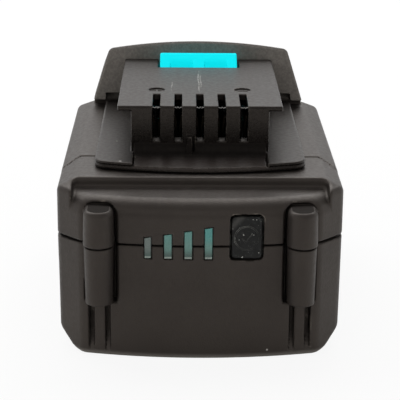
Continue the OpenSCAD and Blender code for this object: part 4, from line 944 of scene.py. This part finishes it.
# Ragged burrs that hang across the slots at the deck's front edge
BURR_HALF, BURR_R, BURR_BACK, BURR_DROP = 1.1, 0.08, 0.3, 0.5
sway = np.array([0.0, 0.5, -0.6, 1.0, -0.8, 0.6, -0.2])
burrs = []
for slot_x in SLOT_PITCH * np.arange(-2, 3):
    across = slot_x + np.linspace(-BURR_HALF, BURR_HALF, len(sway))
    path = np.stack([across, NECK_Y + BURR_BACK - 0.1 * sway, DECK_TOP - BURR_DROP + 0.28 * sway], 1)
    burrs.append(tube(path, np.broadcast_to((0.0, 1.0, 0.0), path.shape), BURR_R))
burr_points = np.concatenate([points for points, _ in burrs])
burr_quads = np.concatenate([quads + i * len(burrs[0][0]) for i, (_, quads) in enumerate(burrs)])
pale_burr = plain_plastic("pale_burr", rgb(150, 147, 142), rgb(205, 203, 198))
burr_piece = mesh_piece("slot_burrs", burr_points, burr_quads, pale_burr)
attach(burr_piece, "pack")

# Floor, lights and camera
PHOTO_SIDE = 400
FOCAL_PX = 1534.1
CAMERA_FAR = 400.2
PITCH, YAW, ROLL = math.radians(17.62), math.radians(0.75), math.radians(0.47)
AIM = Vector((-0.24, -HALF_L, 45.36))
FILL = 0.3
LAMPS = {
    "back": ((0.0, 1.3, 0.45), (2.4, 1.0), 4.3),
    "top": ((-0.1, 0.5, 0.8), (1.2, 0.8), 8.0),
    "left": ((-1.1, 0.0, 0.3), (2.2, 0.8), 3.2),
    "right": ((1.1, 0.0, 0.3), (2.2, 0.8), 2.8),
    "front": ((-0.2, -1.25, 0.85), (2.0, 0.7), 2.8),
}


def studio():
    """White surroundings for the camera, and large soft lamps."""
    scene = bpy.context.scene
    scene.view_settings.view_transform = "Standard"
    world = bpy.data.worlds.new("studio")
    scene.world = world
    world.use_nodes = True
    tree = world.node_tree
    path = tree.nodes.new("ShaderNodeLightPath")
    seen = tree.nodes.new("ShaderNodeMath")
    seen.operation = "MAXIMUM"
    tree.links.new(path.outputs["Is Camera Ray"], seen.inputs[0])
    tree.links.new(path.outputs["Is Transmission Ray"], seen.inputs[1])
    level = tree.nodes.new("ShaderNodeMapRange")
    level.inputs["To Min"].default_value = FILL
    level.inputs["To Max"].default_value = 1.0
    tree.links.new(seen.outputs[0], level.inputs["Value"])
    back = tree.nodes["Background"]
    back.inputs["Color"].default_value = (1, 1, 1, 1)
    tree.links.new(level.outputs[0], back.inputs["Strength"])
    for name, (place, size, power) in LAMPS.items():
        lamp(name, place, size, power)


def lamp(name, place, size, power):
    """A large soft rectangular lamp that faces the pack."""
    data = bpy.data.lights.new(name, "AREA")
    data.shape = "RECTANGLE"
    data.size, data.size_y = size
    data.energy = power
    made = bpy.data.objects.new(name, data)
    made.location = place
    made.visible_camera = False
    made.rotation_mode = "QUATERNION"
    made.rotation_quaternion = (Vector((0, 0, 0.03)) - Vector(place)).to_track_quat("-Z", "Y")
    bpy.context.scene.collection.objects.link(made)


def floor():
    """A wide pale floor that keeps the pack's shadow."""
    f = Finish("pale_floor", Roughness=0.9, Specular_IOR_Level=0.1)
    f.feed("Base Color", f.blend(f.noise(30, 3.0), rgb(240, 240, 239), rgb(246, 246, 245)))
    glow = f.node("ShaderNodeEmission", inputs={"Color": (1, 1, 1, 1), "Strength": 1.0}, out="Emission")
    seen = f.node("ShaderNodeLightPath", out="Is Camera Ray")
    mixed = f.node("ShaderNodeMixShader", inputs={0: seen * 0.9, 1: Value(f, f.shader.outputs[0]), 2: glow})
    f.tree.links.new(mixed.socket, f.tree.nodes["Material Output"].inputs["Surface"])
    side = 3000.0
    points = np.array([(-side, -side, 0), (side, -side, 0), (side, side, 0), (-side, side, 0)])
    mesh_piece("floor", points, np.array([[0, 1, 2, 3]]), f.material)


def camera():
    """Camera at the photograph's angle, its focal length given in pixels of the square frame."""
    data = bpy.data.cameras.new("camera")
    data.sensor_width = 36.0
    data.lens = FOCAL_PX / PHOTO_SIDE * data.sensor_width
    data.clip_start, data.clip_end = 0.01, 20.0
    ahead = Vector((math.sin(YAW) * math.cos(PITCH), math.cos(YAW) * math.cos(PITCH), -math.sin(PITCH)))
    made = bpy.data.objects.new("camera", data)
    made.location = (AIM - ahead * CAMERA_FAR) * MM
    made.rotation_mode = "QUATERNION"
    turn = ahead.to_track_quat("-Z", "Y").to_matrix() @ Matrix.Rotation(ROLL, 3, "Z")
    made.rotation_quaternion = turn.to_quaternion()
    bpy.context.scene.collection.objects.link(made)
    bpy.context.scene.camera = made


studio()
floor()
camera()
